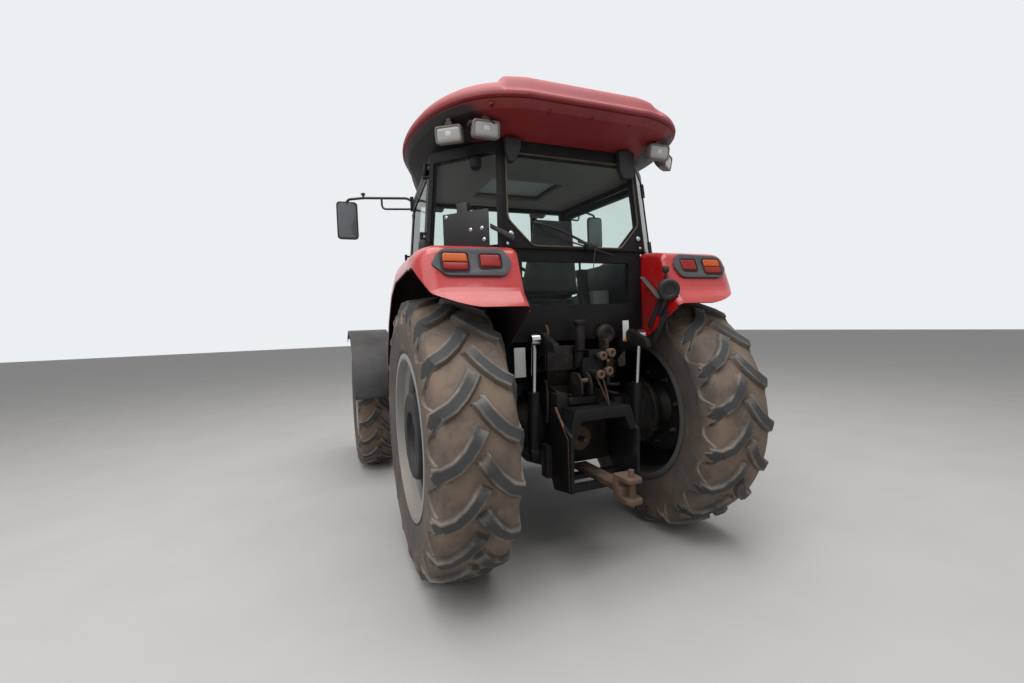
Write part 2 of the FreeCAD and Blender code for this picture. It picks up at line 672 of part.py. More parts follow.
def exhaust(frame):
    """The exhaust stack, up the cab's right front corner from the engine."""
    x, y, z = 1545.0, -565.0, 1065.0
    elbow = rod((x, -ENGINE_HALF_W, z), (x, y, z), 42)
    stack = rod((x, y, z), (x, y, 1500), 42)
    muffler = rod((x, y, 1480), (x, y, 2250), 78)
    tip = rod((x, y, 2250), (x, y, 2740), 36)
    bracket = strut((x, y, 1675), (A_FOOT[0] - 40, -A_MID_Y + 60, 1675), 30, 12, (0, 0, 1)).cut(frame)
    bracket = max(bracket.Solids, key=lambda solid: solid.Volume)
    return fuse([elbow, stack, muffler, tip, bracket])


def radiator():
    return box(NOSE_X - 620, NOSE_X - 490, -275, 275, BOLSTER_TOP, RADIATOR_TOP)


# Cab shell

def plane_y(first, second, third, x, z):
    """The y at x, z of the plane through three points."""
    normal = (second - first).cross(third - first)
    return first.y - (normal.x * (x - first.x) + normal.z * (z - first.z)) / normal.y


def cab_corners():
    """The corner lines of the glasshouse, each as its low and its high point."""
    rear = [V(REAR_X[0], REAR_Y[0], CAB_LOW), V(REAR_X[1], REAR_Y[1], CAB_TOP)]
    middle_z = (CAB_LOW + CAB_TOP) / 2
    b_mid = V(sum(B_X) / 2, B_MID_Y, middle_z)
    b_line = []
    for x, z in zip(B_X, (CAB_LOW, CAB_TOP)):
        b_line.append(V(x, plane_y(rear[0], rear[1], b_mid, x, z), z))
    a_mid = V(sum(A_X) / 2, A_MID_Y, middle_z)
    a_line = []
    for x, z in zip(A_X, (CAB_LOW, CAB_TOP)):
        a_line.append(V(x, plane_y(b_line[0], b_line[1], a_mid, x, z), z))
    return rear, b_line, a_line


REAR_LINE, B_LINE, A_LINE = cab_corners()
A_FLOOR = V(A_FOOT[0], A_FOOT[1], FLOOR_Z)


def slab(corners, depth):
    """A flat panel with its outer face on the corners, reaching inwards by depth."""
    corners = [V(corner) for corner in corners]
    normal = (corners[1] - corners[0]).cross(corners[2] - corners[0]).normalize()
    inner = V(600, 0, 2200) - corners[0]
    if normal.dot(inner) < 0:
        normal = normal * -1
    return Part.Face(Part.makePolygon(corners + corners[:1])).extrude(normal * depth), normal


def shrunk(corners, margins):
    """The corners of a flat panel moved in from each side by that side's margin."""
    corners = [V(corner) for corner in corners]
    normal = (corners[1] - corners[0]).cross(corners[2] - corners[0]).normalize()
    count = len(corners)
    lines = []
    for index in range(count):
        start, end = corners[index], corners[(index + 1) % count]
        along = (end - start).normalize()
        inward = normal.cross(along)
        lines.append((start + inward * margins[index], along))
    moved = []
    for index in range(count):
        point_a, along_a = lines[index - 1]
        point_b, along_b = lines[index]
        across_b = normal.cross(along_b)
        reach = (point_b - point_a).dot(across_b) / along_a.dot(across_b)
        moved.append(point_a + along_a * reach)
    return moved


def window(corners, margins, depth):
    """A panel's frame with its opening cut, and the pane that fills the opening."""
    panel, normal = slab(corners, depth)
    hole = shrunk(corners, margins)
    cutter = Part.Face(Part.makePolygon([p - normal * 5 for p in hole] + [hole[0] - normal * 5]))
    frame = panel.cut(cutter.extrude(normal * (depth + 10)))
    edge = shrunk(hole, [SEAT] * len(hole))
    pane = [p + normal * PANE_SUNK for p in edge]
    return frame, Part.Face(Part.makePolygon(pane + pane[:1])).extrude(normal * GLASS)


def rear_panel():
    """The corners of the rear wall's glasshouse part, and its window's corners."""
    low, high = REAR_LINE
    return [V(low.x, -low.y, low.z), V(low), V(high), V(high.x, -high.y, high.z)]


def on_rear(y, z):
    """The point of the rear wall's outer face at y, z."""
    share = (z - CAB_LOW) / (CAB_TOP - CAB_LOW)
    return V(REAR_X[0] + share * (REAR_X[1] - REAR_X[0]), y, z)


def rear_wall():
    """Frame and panes of the rear: the big window above, the small one below."""
    panel, normal = slab(rear_panel(), WALL_T)
    hole = [on_rear(y, z) for y, z in REAR_GLASS]
    cutter = Part.Face(Part.makePolygon([p - normal * 5 for p in hole] + [hole[0] - normal * 5]))
    frame = panel.cut(cutter.extrude(normal * (WALL_T + 10)))
    over_fender = box(-400, 0, FENDER_IN - SEAT, 1100, CAB_LOW - 100, CAB_LOW)
    frame = frame.cut(pair(over_fender))
    pane = [p + normal * PANE_SUNK for p in shrunk(hole, [SEAT] * len(hole))]
    pane = Part.Face(Part.makePolygon(pane + pane[:1])).extrude(normal * GLASS)
    x0, x1 = REAR_WALL_X, REAR_WALL_X + REAR_WALL_T
    half, low, high = LOWER_GLASS
    lower = box(x0, x1, -LOWER_WALL_HALF_W, LOWER_WALL_HALF_W, SHELF_Z - 30, CAB_LOW + 4)
    lower = lower.cut(box(x0 - 1, x1 + 1, -half, half, low, high))
    low_pane = box(x0 + 6, x0 + 6 + GLASS, -half + SEAT, half - SEAT, low + SEAT, high - SEAT)
    return fuse([frame, lower]), [pane, low_pane]


def side_frame():
    """The left quarter window's frame, the door posts, the cant rail and the A post."""
    quarter, quarter_pane = window(
        [REAR_LINE[0], B_LINE[0], B_LINE[1], REAR_LINE[1]], [24, 30, 70, 34], WALL_T)
    upper, normal = slab([B_LINE[0], A_LINE[0], A_LINE[1], B_LINE[1]], WALL_T)
    hole = shrunk([B_LINE[0], A_LINE[0], A_LINE[1], B_LINE[1]], [-10, PILLAR, RAIL, PILLAR])
    cutter = Part.Face(Part.makePolygon([p - normal * 60 for p in hole] + [hole[0] - normal * 60]))
    upper = upper.cut(cutter.extrude(normal * (WALL_T + 120)))
    post = strut(
        tuple(A_LINE[0] - V(34, 24, -20)), tuple(A_FLOOR - V(34, 24, 0)), WALL_T, PILLAR, (0, 1, 0))
    over_fender = box(-400, FENDER_LINE[3][0], FENDER_IN - SEAT, 1100, CAB_LOW - 100, CAB_LOW)
    posts = fuse([quarter, upper, post]).cut(over_fender)
    return posts.fuse(side_sill()).removeSplitter(), quarter_pane


def cab_frame():
    rear, rear_panes = rear_wall()
    side, quarter_pane = side_frame()
    front_corners = [
        V(A_LINE[0]), V(A_LINE[0].x, -A_LINE[0].y, CAB_LOW),
        V(A_LINE[1].x, -A_LINE[1].y, CAB_TOP), V(A_LINE[1])]
    screen, screen_pane = window(front_corners, [-10, PILLAR, RAIL, PILLAR], WALL_T)
    side = fuse([side] + hinge_ears())
    frame = fuse([rear, side, mirrored(side), screen])
    panes = rear_panes + [quarter_pane, mirrored(quarter_pane), screen_pane]
    return frame, panes


# Roof

def roof_outline(size, z):
    """The roof's plan at full size, scaled about its middle."""
    left = []
    start = V(ROOF_REAR_X, ROOF_REAR_HALF_W, 0)
    for middle, end in ROOF_EDGE:
        left.append((start, middle and V(*middle, 0), V(*end, 0)))
        start = V(*end, 0)
    right = [(V(end.x, -end.y, 0), middle and V(middle.x, -middle.y, 0), V(start.x, -start.y, 0))
             for start, middle, end in reversed(left)]
    nose = (left[-1][2], V(ROOF_NOSE_X, 0, 0), right[0][0])
    back = (right[-1][2], None, left[0][0])
    edges = []
    for start, middle, end in left + [nose] + right + [back]:
        edges.append(Part.Arc(start, middle, end).toShape() if middle else Part.makeLine(start, end))
    wire = Part.Wire(edges)
    wire.scale(size, V(ROOF_CENTRE_X, 0, 0))
    wire.translate(V(0, 0, z))
    return wire


def roof_stack(sections):
    return Part.makeLoft([roof_outline(size, z) for z, size in sections], True, True)


def cab_roof():
    """The moulded roof: rim, dome and the raised panel along its middle."""
    dome = [(ROOF_RIM_Z + share * ROOF_RISE, size) for share, size in ROOF_DOME]
    raised = [(ROOF_RIM_Z + share * ROOF_RISE + proud * ROOF_PANEL_PROUD, size)
              for share, proud, size in ROOF_RAISED]
    top = ROOF_TOP + ROOF_PANEL_PROUD + 1
    half = ROOF_PANEL_HALF_W
    band = end_plate([
        (-half - 30, ROOF_RIM_Z), (-half - 30, ROOF_TOP - 10), (-half + 10, top), (half - 10, top),
        (half + 30, ROOF_TOP - 10), (half + 30, ROOF_RIM_Z)], ROOF_REAR_X - 50, 2000)
    x0, x1, hatch_half = HATCH
    opening = box(x0, x1, -hatch_half, hatch_half, CAB_TOP, top)
    return roof_stack(list(ROOF_UNDER) + dome).fuse(roof_stack(raised).common(band)).cut(opening)


def roof_hatch():
    """The tinted lid of the roof opening."""
    x0, x1, half = HATCH
    top = ROOF_TOP + ROOF_PANEL_PROUD - 32
    return box(x0 + SEAT, x1 - SEAT, -half + SEAT, half - SEAT, top - 8, top)


def headliner():
    """The trim under the roof, inside the cant rails."""
    corners = [V(p.x, p.y, 0) for p in (REAR_LINE[1], B_LINE[1], A_LINE[1])]
    ring = corners + [V(p.x, -p.y, 0) for p in reversed(corners)]
    inner = shrunk(ring[::-1], [WALL_T + 12] * len(ring))
    plate = flat_plate([(p.x, p.y) for p in inner], CAB_TOP - 30, CAB_TOP)
    x0, x1, half = HATCH
    return plate.cut(box(x0, x1, -half, half, CAB_TOP - 40, CAB_TOP + 10))


# Doors

def side_y(x, z, lower=False):
    """The y of the cab's left side at x, z, above or below its knee."""
    if lower:
        return plane_y(B_LINE[0], A_LINE[0], A_FLOOR, x, z)
    return plane_y(B_LINE[0], B_LINE[1], A_LINE[1], x, z)


def door_sweep(inset):
    """The door's lower rear edge, from its rear foot down over the fender to the sill."""
    return [
        (B_X[0] + PILLAR + DOOR_GAP + inset, CAB_LOW + 20 + inset),
        (320, CAB_LOW + 20 + inset),
        (560 + inset * 0.5, 1880 + inset),
        (790 + inset * 0.8, 1680 + inset * 0.7),
        (950 + inset, 1400 + inset * 0.4),
        (1010 + inset, DOOR_SILL + inset),
    ]


def door_side_outline(inset):
    front_top = A_X[1] - PILLAR - DOOR_GAP - inset
    front_knee = A_X[0] - PILLAR - DOOR_GAP - inset
    front_low = A_FOOT[0] - PILLAR - 30 - inset
    return door_sweep(inset) + [
        (front_low, DOOR_SILL + inset), (front_knee, CAB_LOW), (front_top, DOOR_TOP - inset),
        (B_X[1] + PILLAR + DOOR_GAP + inset, DOOR_TOP - inset)]


def bent_slab(outer, inner):
    """The space between two depths under the cab's left side, above and below the knee."""
    high, low = 2800.0, 1000.0
    sections = []
    for x in (0.0, 1500.0):
        points = []
        for z, lower in ((high, False), (CAB_LOW, False), (low, True)):
            points.append(V(x, side_y(x, z, lower) - outer, z))
        for z, lower in ((low, True), (CAB_LOW, False), (high, False)):
            points.append(V(x, side_y(x, z, lower) - inner, z))
        sections.append(Part.makePolygon(points + points[:1]))
    return Part.makeLoft(sections, True, True)


def hinge_line():
    """The left door's hinge line, low and high, just outside the B post."""
    step = V(HINGE_AHEAD, HINGE_OUT, 0)
    return B_LINE[0] + step, B_LINE[1] + step


def hinge_ears():
    """The B post's ears above and below each hinge knuckle of the left door."""
    low, high = hinge_line()
    along = (high - low).normalize()
    ears = []
    for share in HINGE_SHARES:
        for side in (-1, 1):
            start = low + (high - low) * share + along * (side * (HINGE_LEN / 2 + RUN))
            end = start + along * (side * 16)
            ears.append(Part.makeCylinder(HINGE_R, 16, min((start, end), key=lambda p: p.z), along))
            middle = (start + end) * 0.5
            post_x = middle.x - 26
            post = V(post_x, side_y(post_x, middle.z) - 10, middle.z)
            ears.append(strut(tuple(middle), tuple(post), 12, 20, tuple(along)))
    return ears


def door():
    """The left door's frame with its hinges and handle, and its single pane."""
    whole = side_plate(door_side_outline(0), 500, 1100)
    hole = side_plate(door_side_outline(DOOR_FRAME), 499, 1101)
    pane_cut = side_plate(door_side_outline(DOOR_FRAME + SEAT), 499, 1101)
    frame = whole.cut(hole).common(bent_slab(0, DOOR_T))
    pane = pane_cut.common(bent_slab(6, 6 + GLASS))
    low, high = hinge_line()
    along = (high - low).normalize()
    pieces = [frame]
    for share in HINGE_SHARES:
        foot = low + (high - low) * share
        pieces.append(Part.makeCylinder(HINGE_R, HINGE_LEN, foot - along * (HINGE_LEN / 2), along))
        tip_x = foot.x + PILLAR + 10
        tip = V(tip_x, side_y(tip_x, foot.z) - 4, foot.z)
        pieces.append(strut(tuple(foot), tuple(tip), 50, 12, (0, 0, 1)))
    handle_x, handle_low, handle_high = 1105.0, 1990.0, 2130.0
    handle_y = side_y(handle_x, handle_low) + 34
    pieces.append(rod((handle_x, handle_y, handle_low), (handle_x, handle_y, handle_high), 11))
    for z in (handle_low + 14, handle_high - 14):
        pieces.append(rod((handle_x + 30, side_y(handle_x, z) - 12, z), (handle_x, handle_y, z), 9))
    frame = fuse(pieces)
    return frame, pane.cut(frame)


# Cab inside

def cab_floor():
    """The platform: wide at the doors, narrow and stepped up over the lift at the rear."""
    low = HOUSING_TOP + SEAT
    rear_x = REAR_WALL_X + REAR_WALL_T + SEAT
    half = FENDER_IN - SEAT
    front_x = A_FOOT[0] - 40
    wide_rear = side_y(966, low, True) - WALL_T - SEAT
    wide_front = side_y(front_x, low, True) - WALL_T - SEAT
    outline = [
        (SHELF_X, -half), (966, -half), (966, -wide_rear), (front_x, -wide_front),
        (front_x, wide_front), (966, wide_rear), (966, half), (SHELF_X, half)]
    deck = flat_plate(outline, low, FLOOR_Z)
    riser = box(SHELF_X, SHELF_X + 20, -half, half, low, SHELF_Z)
    shelf = box(rear_x, SHELF_X + 20, -half, half, SHELF_Z - 30, SHELF_Z)
    return fuse([deck, riser, shelf])


def cab_cowl(frame):
    """The panel under the windscreen, from the knee down to the floor."""
    corners = [V(A_LINE[0]), V(A_LINE[0].x, -A_LINE[0].y, CAB_LOW),
               V(A_FLOOR.x, -A_FLOOR.y, FLOOR_Z), V(A_FLOOR)]
    plate, _ = slab(shrunk(corners, [14, 40, SEAT, 40]), 30)
    return plate.cut(frame)


def seat_base():
    """The seat's suspension box with its armrests."""
    z = FLOOR_Z + SEAT
    top = CUSHION_LOW
    pedestal = side_plate([
        (90, z), (500, z), (450, top - 180), (500, top), (90, top), (130, top - 180)], -190, 190)
    pieces = [pedestal, box(90, 150, -322, 322, top - 30, top)]
    for y0, y1 in both(262, 322):
        pieces.append(box(120, 440, y0, y1, top + 290, top + 340))
        pieces.append(side_plate([
            (90, top - 20), (150, top - 20), (180, top + 300), (120, top + 300)], y0, y1))
    return fuse(pieces)


def seat_pads():
    """The cushion and the backrest with its head pad."""
    cushion = box(110, 610, -245, 245, CUSHION_LOW + SEAT, CUSHION_TOP)
    low, high = CUSHION_TOP + SEAT, CUSHION_TOP + 570
    back = side_plate([(84, low), (190, low), (60, high), (-30, high)], -235, 235)
    return Part.makeCompound([pad.makeFillet(26, pad.Edges) for pad in (cushion, back)])


def dash():
    """The dash and steering column, and the console on the seat's right."""
    z = FLOOR_Z + SEAT
    column = side_plate([
        (1000, z), (1190, z), (1190, 1600), (1150, 1830), (1010, 1880), (960, 1800), (1030, 1600)],
        -150, 150)
    axis = steering_axis()
    bore = Part.makeCylinder(STEER_SHAFT_R + RUN, 240, V(*STEER_WHEEL_AT) - axis * 200, axis)
    column = column.cut(bore)
    console = side_plate([(80, z), (760, z), (760, 1560), (620, 1700), (80, 1740)], -478, -345)
    return Part.makeCompound([column, console])


def steering_axis():
    turn = math.radians(STEER_WHEEL_TILT)
    return V(-math.sin(turn), 0, math.cos(turn))


def steering_wheel():
    """A rim on three spokes, with its shaft into the column."""
    centre, axis = V(*STEER_WHEEL_AT), steering_axis()
    pieces = [
        Part.makeTorus(STEER_WHEEL_R, 15, centre, axis),
        Part.makeCylinder(45, 40, centre - axis * 45, axis),
        Part.makeCylinder(STEER_SHAFT_R, 170, centre - axis * 190, axis)]
    across = V(0, 1, 0)
    fore = across.cross(axis)
    for angle in (90, 210, 330):
        turn = math.radians(angle)
        out = across * math.cos(turn) + fore * math.sin(turn)
        pieces.append(rod(tuple(centre - axis * 25), tuple(centre + out * STEER_WHEEL_R), 9))
    return fuse(pieces)


# Rear fenders and lamps

def offset_line(points, distance):
    """An (x, z) line moved to its right-hand side by distance."""
    moved = []
    last = len(points) - 1
    for index, (x, z) in enumerate(points):
        normals = []
        for start in (index - 1, index):
            if 0 <= start < last:
                run_x = points[start + 1][0] - points[start][0]
                run_z = points[start + 1][1] - points[start][1]
                length = math.hypot(run_x, run_z)
                normals.append((run_z / length, -run_x / length))
        nx = sum(normal[0] for normal in normals)
        nz = sum(normal[1] for normal in normals)
        scale = distance * len(normals) / (nx * nx + nz * nz)
        moved.append((x + nx * scale, z + nz * scale))
    return moved


def fender_line(inside, y):
    """Edges along the fender's top in the plane at y, moved inside by a distance."""
    line = offset_line([(x, z) for x, z, _ in FENDER_LINE], inside)
    return rounded_line(line, [max(radius - inside, 0) for _, _, radius in FENDER_LINE], y)


def fender_space(inside, low, y0, y1):
    """The solid space under the fender's line down to low, from y0 to y1."""
    edges = fender_line(inside, y0)
    start, end = edges[0].Vertexes[0].Point, edges[-1].Vertexes[-1].Point
    foot = [end, V(end.x, y0, low), V(start.x, y0, low), start]
    edges += [Part.makeLine(first, second) for first, second in zip(foot, foot[1:])]
    return Part.Face(Part.Wire(edges)).extrude(V(0, y1 - y0, 0))


def fender_section():
    """The section of the pressed top at its rear end: rounded edges and the outer skirt."""
    (x0, z0, _), (x1, z1, _) = FENDER_LINE[:2]
    run = V(x1 - x0, 0, z1 - z0).normalize()
    down = V(run.z, 0, -run.x)

    def spot(y, depth):
        return V(x0, y, z0) + down * depth

    def quarter(y, radius, skin, side):
        """Three points from the flat top round to the side, on the outer or the inner face."""
        points = []
        for turn in (0, math.pi / 4, math.pi / 2):
            reach = radius - skin
            points.append(spot(y + side * reach * math.sin(turn), radius - reach * math.cos(turn)))
        return points

    outer_y, inner_y = FENDER_OUT - FENDER_ROUND, FENDER_IN + FENDER_INNER_ROUND
    outer = [quarter(outer_y, FENDER_ROUND, skin, 1) for skin in (0, FENDER_SKIN)]
    inner = [quarter(inner_y, FENDER_INNER_ROUND, skin, -1) for skin in (0, FENDER_SKIN)]
    hem = [spot(FENDER_OUT - skin, FENDER_SKIRT) for skin in (0, FENDER_SKIN)]
    arcs = [Part.Arc(*points).toShape() for points in outer + inner]
    lines = [(inner[0][0], outer[0][0]), (outer[0][2], hem[0]), (hem[0], hem[1]), (hem[1], outer[1][2]),
             (outer[1][0], inner[1][0]), (inner[1][2], inner[0][2])]
    edges = arcs + [Part.makeLine(start, end) for start, end in lines]
    return Part.Wire(Part.__sortEdges__(edges))


def rear_fender():
    """The left fender: a pressed top swept along its line, and the panel beside the cab."""
    path = Part.Wire(fender_line(0, 0))
    top = path.makePipeShell([fender_section()], True, False, 1)
    (lip_x, lip_z, _), (front_x, front_z, _) = FENDER_LINE[0], FENDER_LINE[-1]
    low = front_z - 100
    panel = fender_space(FENDER_INNER_ROUND, low, FENDER_IN, FENDER_IN + FENDER_SKIN)
    under = side_plate([
        (front_x + 50, front_z), (SHELF_X, front_z), (SHELF_X, 1325), (-212, 1325), (lip_x, lip_z - 8),
        (lip_x - 50, lip_z - 8), (lip_x - 50, low - 1), (front_x + 50, low - 1)],
        FENDER_IN - 1, FENDER_IN + FENDER_SKIN + 1)
    fender = fuse([top, panel.cut(under)])
    (y0, z0), (y1, z1), (y2, z2) = FENDER_LIP
    x = lip_x - 50
    corners = [V(x, y2, z2), V(x, y2 + 100, z2), V(x, y2 + 100, z0 - 200), V(x, y0, z0 - 200), V(x, y0, z0)]
    edges = [arc((x, y0, z0), (x, y1, z1), (x, y2, z2))]
    edges += [Part.makeLine(start, end) for start, end in zip(corners, corners[1:])]
    return fender.cut(Part.Face(Part.Wire(edges)).extrude(V(500, 0, 0)))


def side_sill():
    """The left sill that closes the cab's side between the door and the fender."""
    upper = offset_line(door_sweep(0), DOOR_GAP)
    low = HOUSING_TOP + SEAT
    rear, front = 120, A_FOOT[0] - 60
    outline = [(rear, upper[0][1])] + upper[1:-1] + [
        (1010 - DOOR_GAP, DOOR_SILL - DOOR_GAP), (front, DOOR_SILL - DOOR_GAP), (front, low), (rear, low)]
    sill = side_plate(outline, 400, 1100).common(bent_slab(0, WALL_T))
    return sill.cut(fender_space(-SEAT, low - 100, 399, 1101))


def slope_frame():
    """The middle of the lamp surround on the fender's rear slope, the way up and the way out."""
    (x0, z0, _), (x1, z1, _) = FENDER_LINE[1:3]
    run = V(x1 - x0, 0, z1 - z0).normalize()
    out = V(-run.z, 0, run.x)
    return V(x0, 0, z0) + run * SURROUND_ALONG, run, out


def slope_plate(outline, low, high):
    """An (across, up) outline on the fender's rear slope, solid between two heights over it."""
    middle, run, out = slope_frame()
    corners = [middle + V(0, across, 0) + run * up + out * low for across, up in outline]
    return Part.Face(Part.makePolygon(corners + corners[:1])).extrude(out * (high - low))


def slope_block(across, up, height, width, low, high):
    corners = ((across - width / 2, up - height / 2), (across + width / 2, up - height / 2),
               (across + width / 2, up + height / 2), (across - width / 2, up + height / 2))
    return slope_plate(corners, low, high)


def lamp_surround(fender):
    """The moulding round the left tail lamps, pointed outside, with a well for each lamp."""
    high, wide, y = SURROUND_H / 2, SURROUND_W / 2, SURROUND_Y
    outline = [
        (y + wide, 5), (y + wide - 52, high - 3), (y - wide + 45, high), (y - wide + 8, high - 38),
        (y - wide, -10), (y - wide + 12, -high + 26), (y - wide + 70, -high), (y + wide - 86, -high)]
    plate = slope_plate(outline, -FENDER_SKIN + 0.5, SURROUND_T).cut(fender)
    for across, up, height, width in LAMP_WELLS:
        plate = plate.cut(slope_block(across, up, height, width, SURROUND_T - LAMP_WELL, SURROUND_T + 1))
    return plate


def tail_lamps():
    """The two lamps on each fender, seated in the wells of their surround."""
    foot = SURROUND_T - LAMP_WELL + SEAT
    out = slope_frame()[2]
    lamps = []
    for across, up, height, width in TAIL_LAMPS:
        lamp = slope_block(across, up, height, width, foot, foot + LENS_T)
        corners = [edge for edge in lamp.Edges if abs(edge.tangentAt(edge.FirstParameter).dot(out)) > 0.9]
        lamp = lamp.makeFillet(14, corners)
        lamps += [lamp, mirrored(lamp)]
    return Part.makeCompound(lamps)


def work_lamps(roof):
    """The work lamps, each a reflector box on a short stalk under the roof's rim."""
    lamps = []
    for x, y, turn_out, facing in WORK_LAMPS:
        body = end_plate([(-80, -48), (80, -48), (80, 40), (66, 48), (-66, 48), (-80, 40)], 0, 62)
        back = [[V(depth, side * half, low if part == 0 else high) for side, part in
                 ((-1, 0), (1, 0), (1, 1), (-1, 1))]
                for depth, half, low, high in ((62, 80, -48, 40), (104, 40, -24, 22))]
        back = Part.makeLoft([Part.makePolygon(ring + ring[:1]) for ring in back], True, True)
        lamp = fuse([body, back, box(24, 58, -22, 22, 30, 96)])
        lamp.rotate(V(0, 0, 0), V(0, 0, 1), -turn_out if facing < 0 else 180 + turn_out)
        lamp.translate(V(x, y, WORK_LAMP_Z))
        lamp = lamp.cut(roof)
        lamp = max(lamp.Solids, key=lambda solid: solid.Volume)
        lamps += [lamp, mirrored(lamp)]
    return Part.makeCompound(lamps)


# Mirrors

def mirror(frame):
    """The left mirror: a bent double arm from the cab's corner and a tall head."""
    low, high = CAB_TOP - 95, CAB_TOP - 7
    root = V(A_LINE[1].x, A_LINE[1].y - 34, 0)
    foot = box(root.x - 10, root.x + 36, root.y - 14, root.y + 26, low, high).cut(frame)
    elbow = V(1385, 1130, CAB_TOP + 23)
    head_top = V(MIRROR_X, MIRROR_Y - 40, MIRROR_Z + MIRROR_H / 2 + 6)
    upper_root = V(root.x + 22, root.y, high - 14)
    upper = rod(tuple(upper_root), tuple(elbow), 11)
    lower = rod((root.x + 22, root.y, low + 16), tuple(upper_root + (elbow - upper_root) * 0.72), 9)
    reach = rod(tuple(elbow), tuple(head_top), 11)
    drop = rod(tuple(head_top), (head_top.x, head_top.y, MIRROR_Z - 40), 9)
    knob = Part.makeCylinder(20, 60, V(elbow.x, elbow.y, elbow.z - 8))
    head = box(-28, 28, -MIRROR_W / 2, MIRROR_W / 2, -MIRROR_H / 2, MIRROR_H / 2)
    head = head.makeFillet(24, head.Edges)
    head.rotate(V(0, 0, 0), V(0, 0, 1), -18)
    head.translate(V(MIRROR_X, MIRROR_Y, MIRROR_Z))
    return fuse([foot, upper, lower, reach, drop, knob, head])


# Hood

def hood_form(inset, stretch):
    """The hood's outer form, or the form inside its skin."""
    sections = []
    last = len(HOOD_SECTIONS) - 1
    for index, (x, half, bottom, shoulder, top) in enumerate(HOOD_SECTIONS):
        x -= stretch if index == 0 else 0
        x -= inset if index == last else 0
        half, top, shoulder = half - inset, top - inset, shoulder - inset * 0.6
        bottom -= stretch
        brow = shoulder + (top - shoulder) * 0.72
        outline = [
            (-half, bottom), (-half, shoulder), (-half * 0.93, shoulder + (brow - shoulder) * 0.55),
            (-half * 0.78, brow), (-half * 0.55, top - (top - brow) * 0.28), (-half * 0.30, top)]
        outline += [(-y, z) for y, z in reversed(outline)]
        points = [V(x, y, z) for y, z in outline]
        sections.append(Part.makePolygon(points + points[:1]))
    return Part.makeLoft(sections, True, True)


def hood():
    """The one-piece hood with its nose, open below, hung from two ears at the rear."""
    shell = hood_form(0, 0).cut(hood_form(HOOD_SKIN, 60))
    half, low, high = GRILLE
    shell = shell.cut(box(GRILLE_X[0] - 46, NOSE_X, -half, half, low, high))
    x, z = HOOD_PIN
    ears = []
    for y0, y1 in both(110, 132):
        ear = side_plate([
            (x - 24, z - 22), (x + 30, z - 22), (x + 110, HOOD_TOP_REAR - 16),
            (x - 22, HOOD_TOP_REAR - 6)], y0, y1)
        ears.append(ear.cut(rod((x, y0 - 1, z), (x, y1 + 1, z), HOOD_PIN_R + RUN)))
    return fuse([shell] + ears)


def hood_stand():
    """The firewall and hinge pin that carry the hood, standing on the bell housing."""
    x, z = HOOD_PIN
    low = HOUSING_TOP + SEAT
    wall = end_plate([(-290, low), (290, low), (290, z - 160), (240, z - 40), (-240, z - 40),
                      (-290, z - 160)], x - 6, x + 6)
    wall = wall.cut(box(x - 7, x + 7, -200, 200, HOUSING_TOP + 100, z - 120))
    pin = rod((x, -150, z), (x, 150, z), HOOD_PIN_R)
    cheek = [(x - 18, z - 60), (x + 18, z - 60), (x + 18, z + 16), (x - 18, z + 16)]
    cheeks = [side_plate(cheek, y0, y1) for y0, y1 in both(140, 152)]
    return fuse([wall, pin] + cheeks)


def grille():
    """The grille's frame and slats, set in the nose opening."""
    half, low, high = GRILLE
    half, low, high = half - SEAT, low + SEAT, high - SEAT
    x0, x1 = GRILLE_X
    border = 18.0
    frame = box(x0, x1, -half, half, low, high)
    frame = frame.cut(box(x0 - 1, x1 + 1, -half + border, half - border, low + border, high - border))
    pitch, slat_h = 34.0, 10.0
    count = int((high - low - 2 * border) / pitch)
    slats = []
    for index in range(count):
        z = low + border + pitch * (index + 0.5)
        slats.append(box(x0 + 2, x1 - 2, -half + border / 2, half - border / 2, z, z + slat_h))
    return fuse([frame] + slats)


def headlamps():
    """The two headlamps on the nose, above the grille."""
    y0, y1, low, high = HEADLAMP
    block = box(NOSE_X - 190, NOSE_X - 50, y0, y1, low, high)
    lamp = block.common(hood_form(-12, 0)).cut(hood_form(-SEAT, 0))
    return pair(max(lamp.Solids, key=lambda solid: solid.Volume))


# Rear linkage

def drawbar_frame():
    """The side plates, cross bars and shaft guard behind the axle housing."""
    outline = [(HOUSING_REAR - SEAT, 999), (-345, 971), (-561, 859), (-553, 529), (-338, 487),
               (HOUSING_REAR - SEAT, 647)]
    inner = HITCH_PLATE_Y - HITCH_PLATE_T / 2
    plates = [side_plate(outline, y0, y1) for y0, y1 in both(inner, inner + HITCH_PLATE_T)]
    low_bar = box(-548, -480, -inner, inner, DRAWBAR_LOW - 32, DRAWBAR_LOW)
    front_bar = box(-360, -300, -inner, inner, DRAWBAR_LOW - 32, DRAWBAR_LOW)
    guard = end_plate([(-inner, 850), (-inner, 925), (-190, 1000), (190, 1000), (inner, 925), (inner, 850),
                       (inner - 30, 850), (150, 936), (-150, 936), (-inner + 30, 850)], -540, -320)
    return fuse(plates + [low_bar, front_bar, guard])


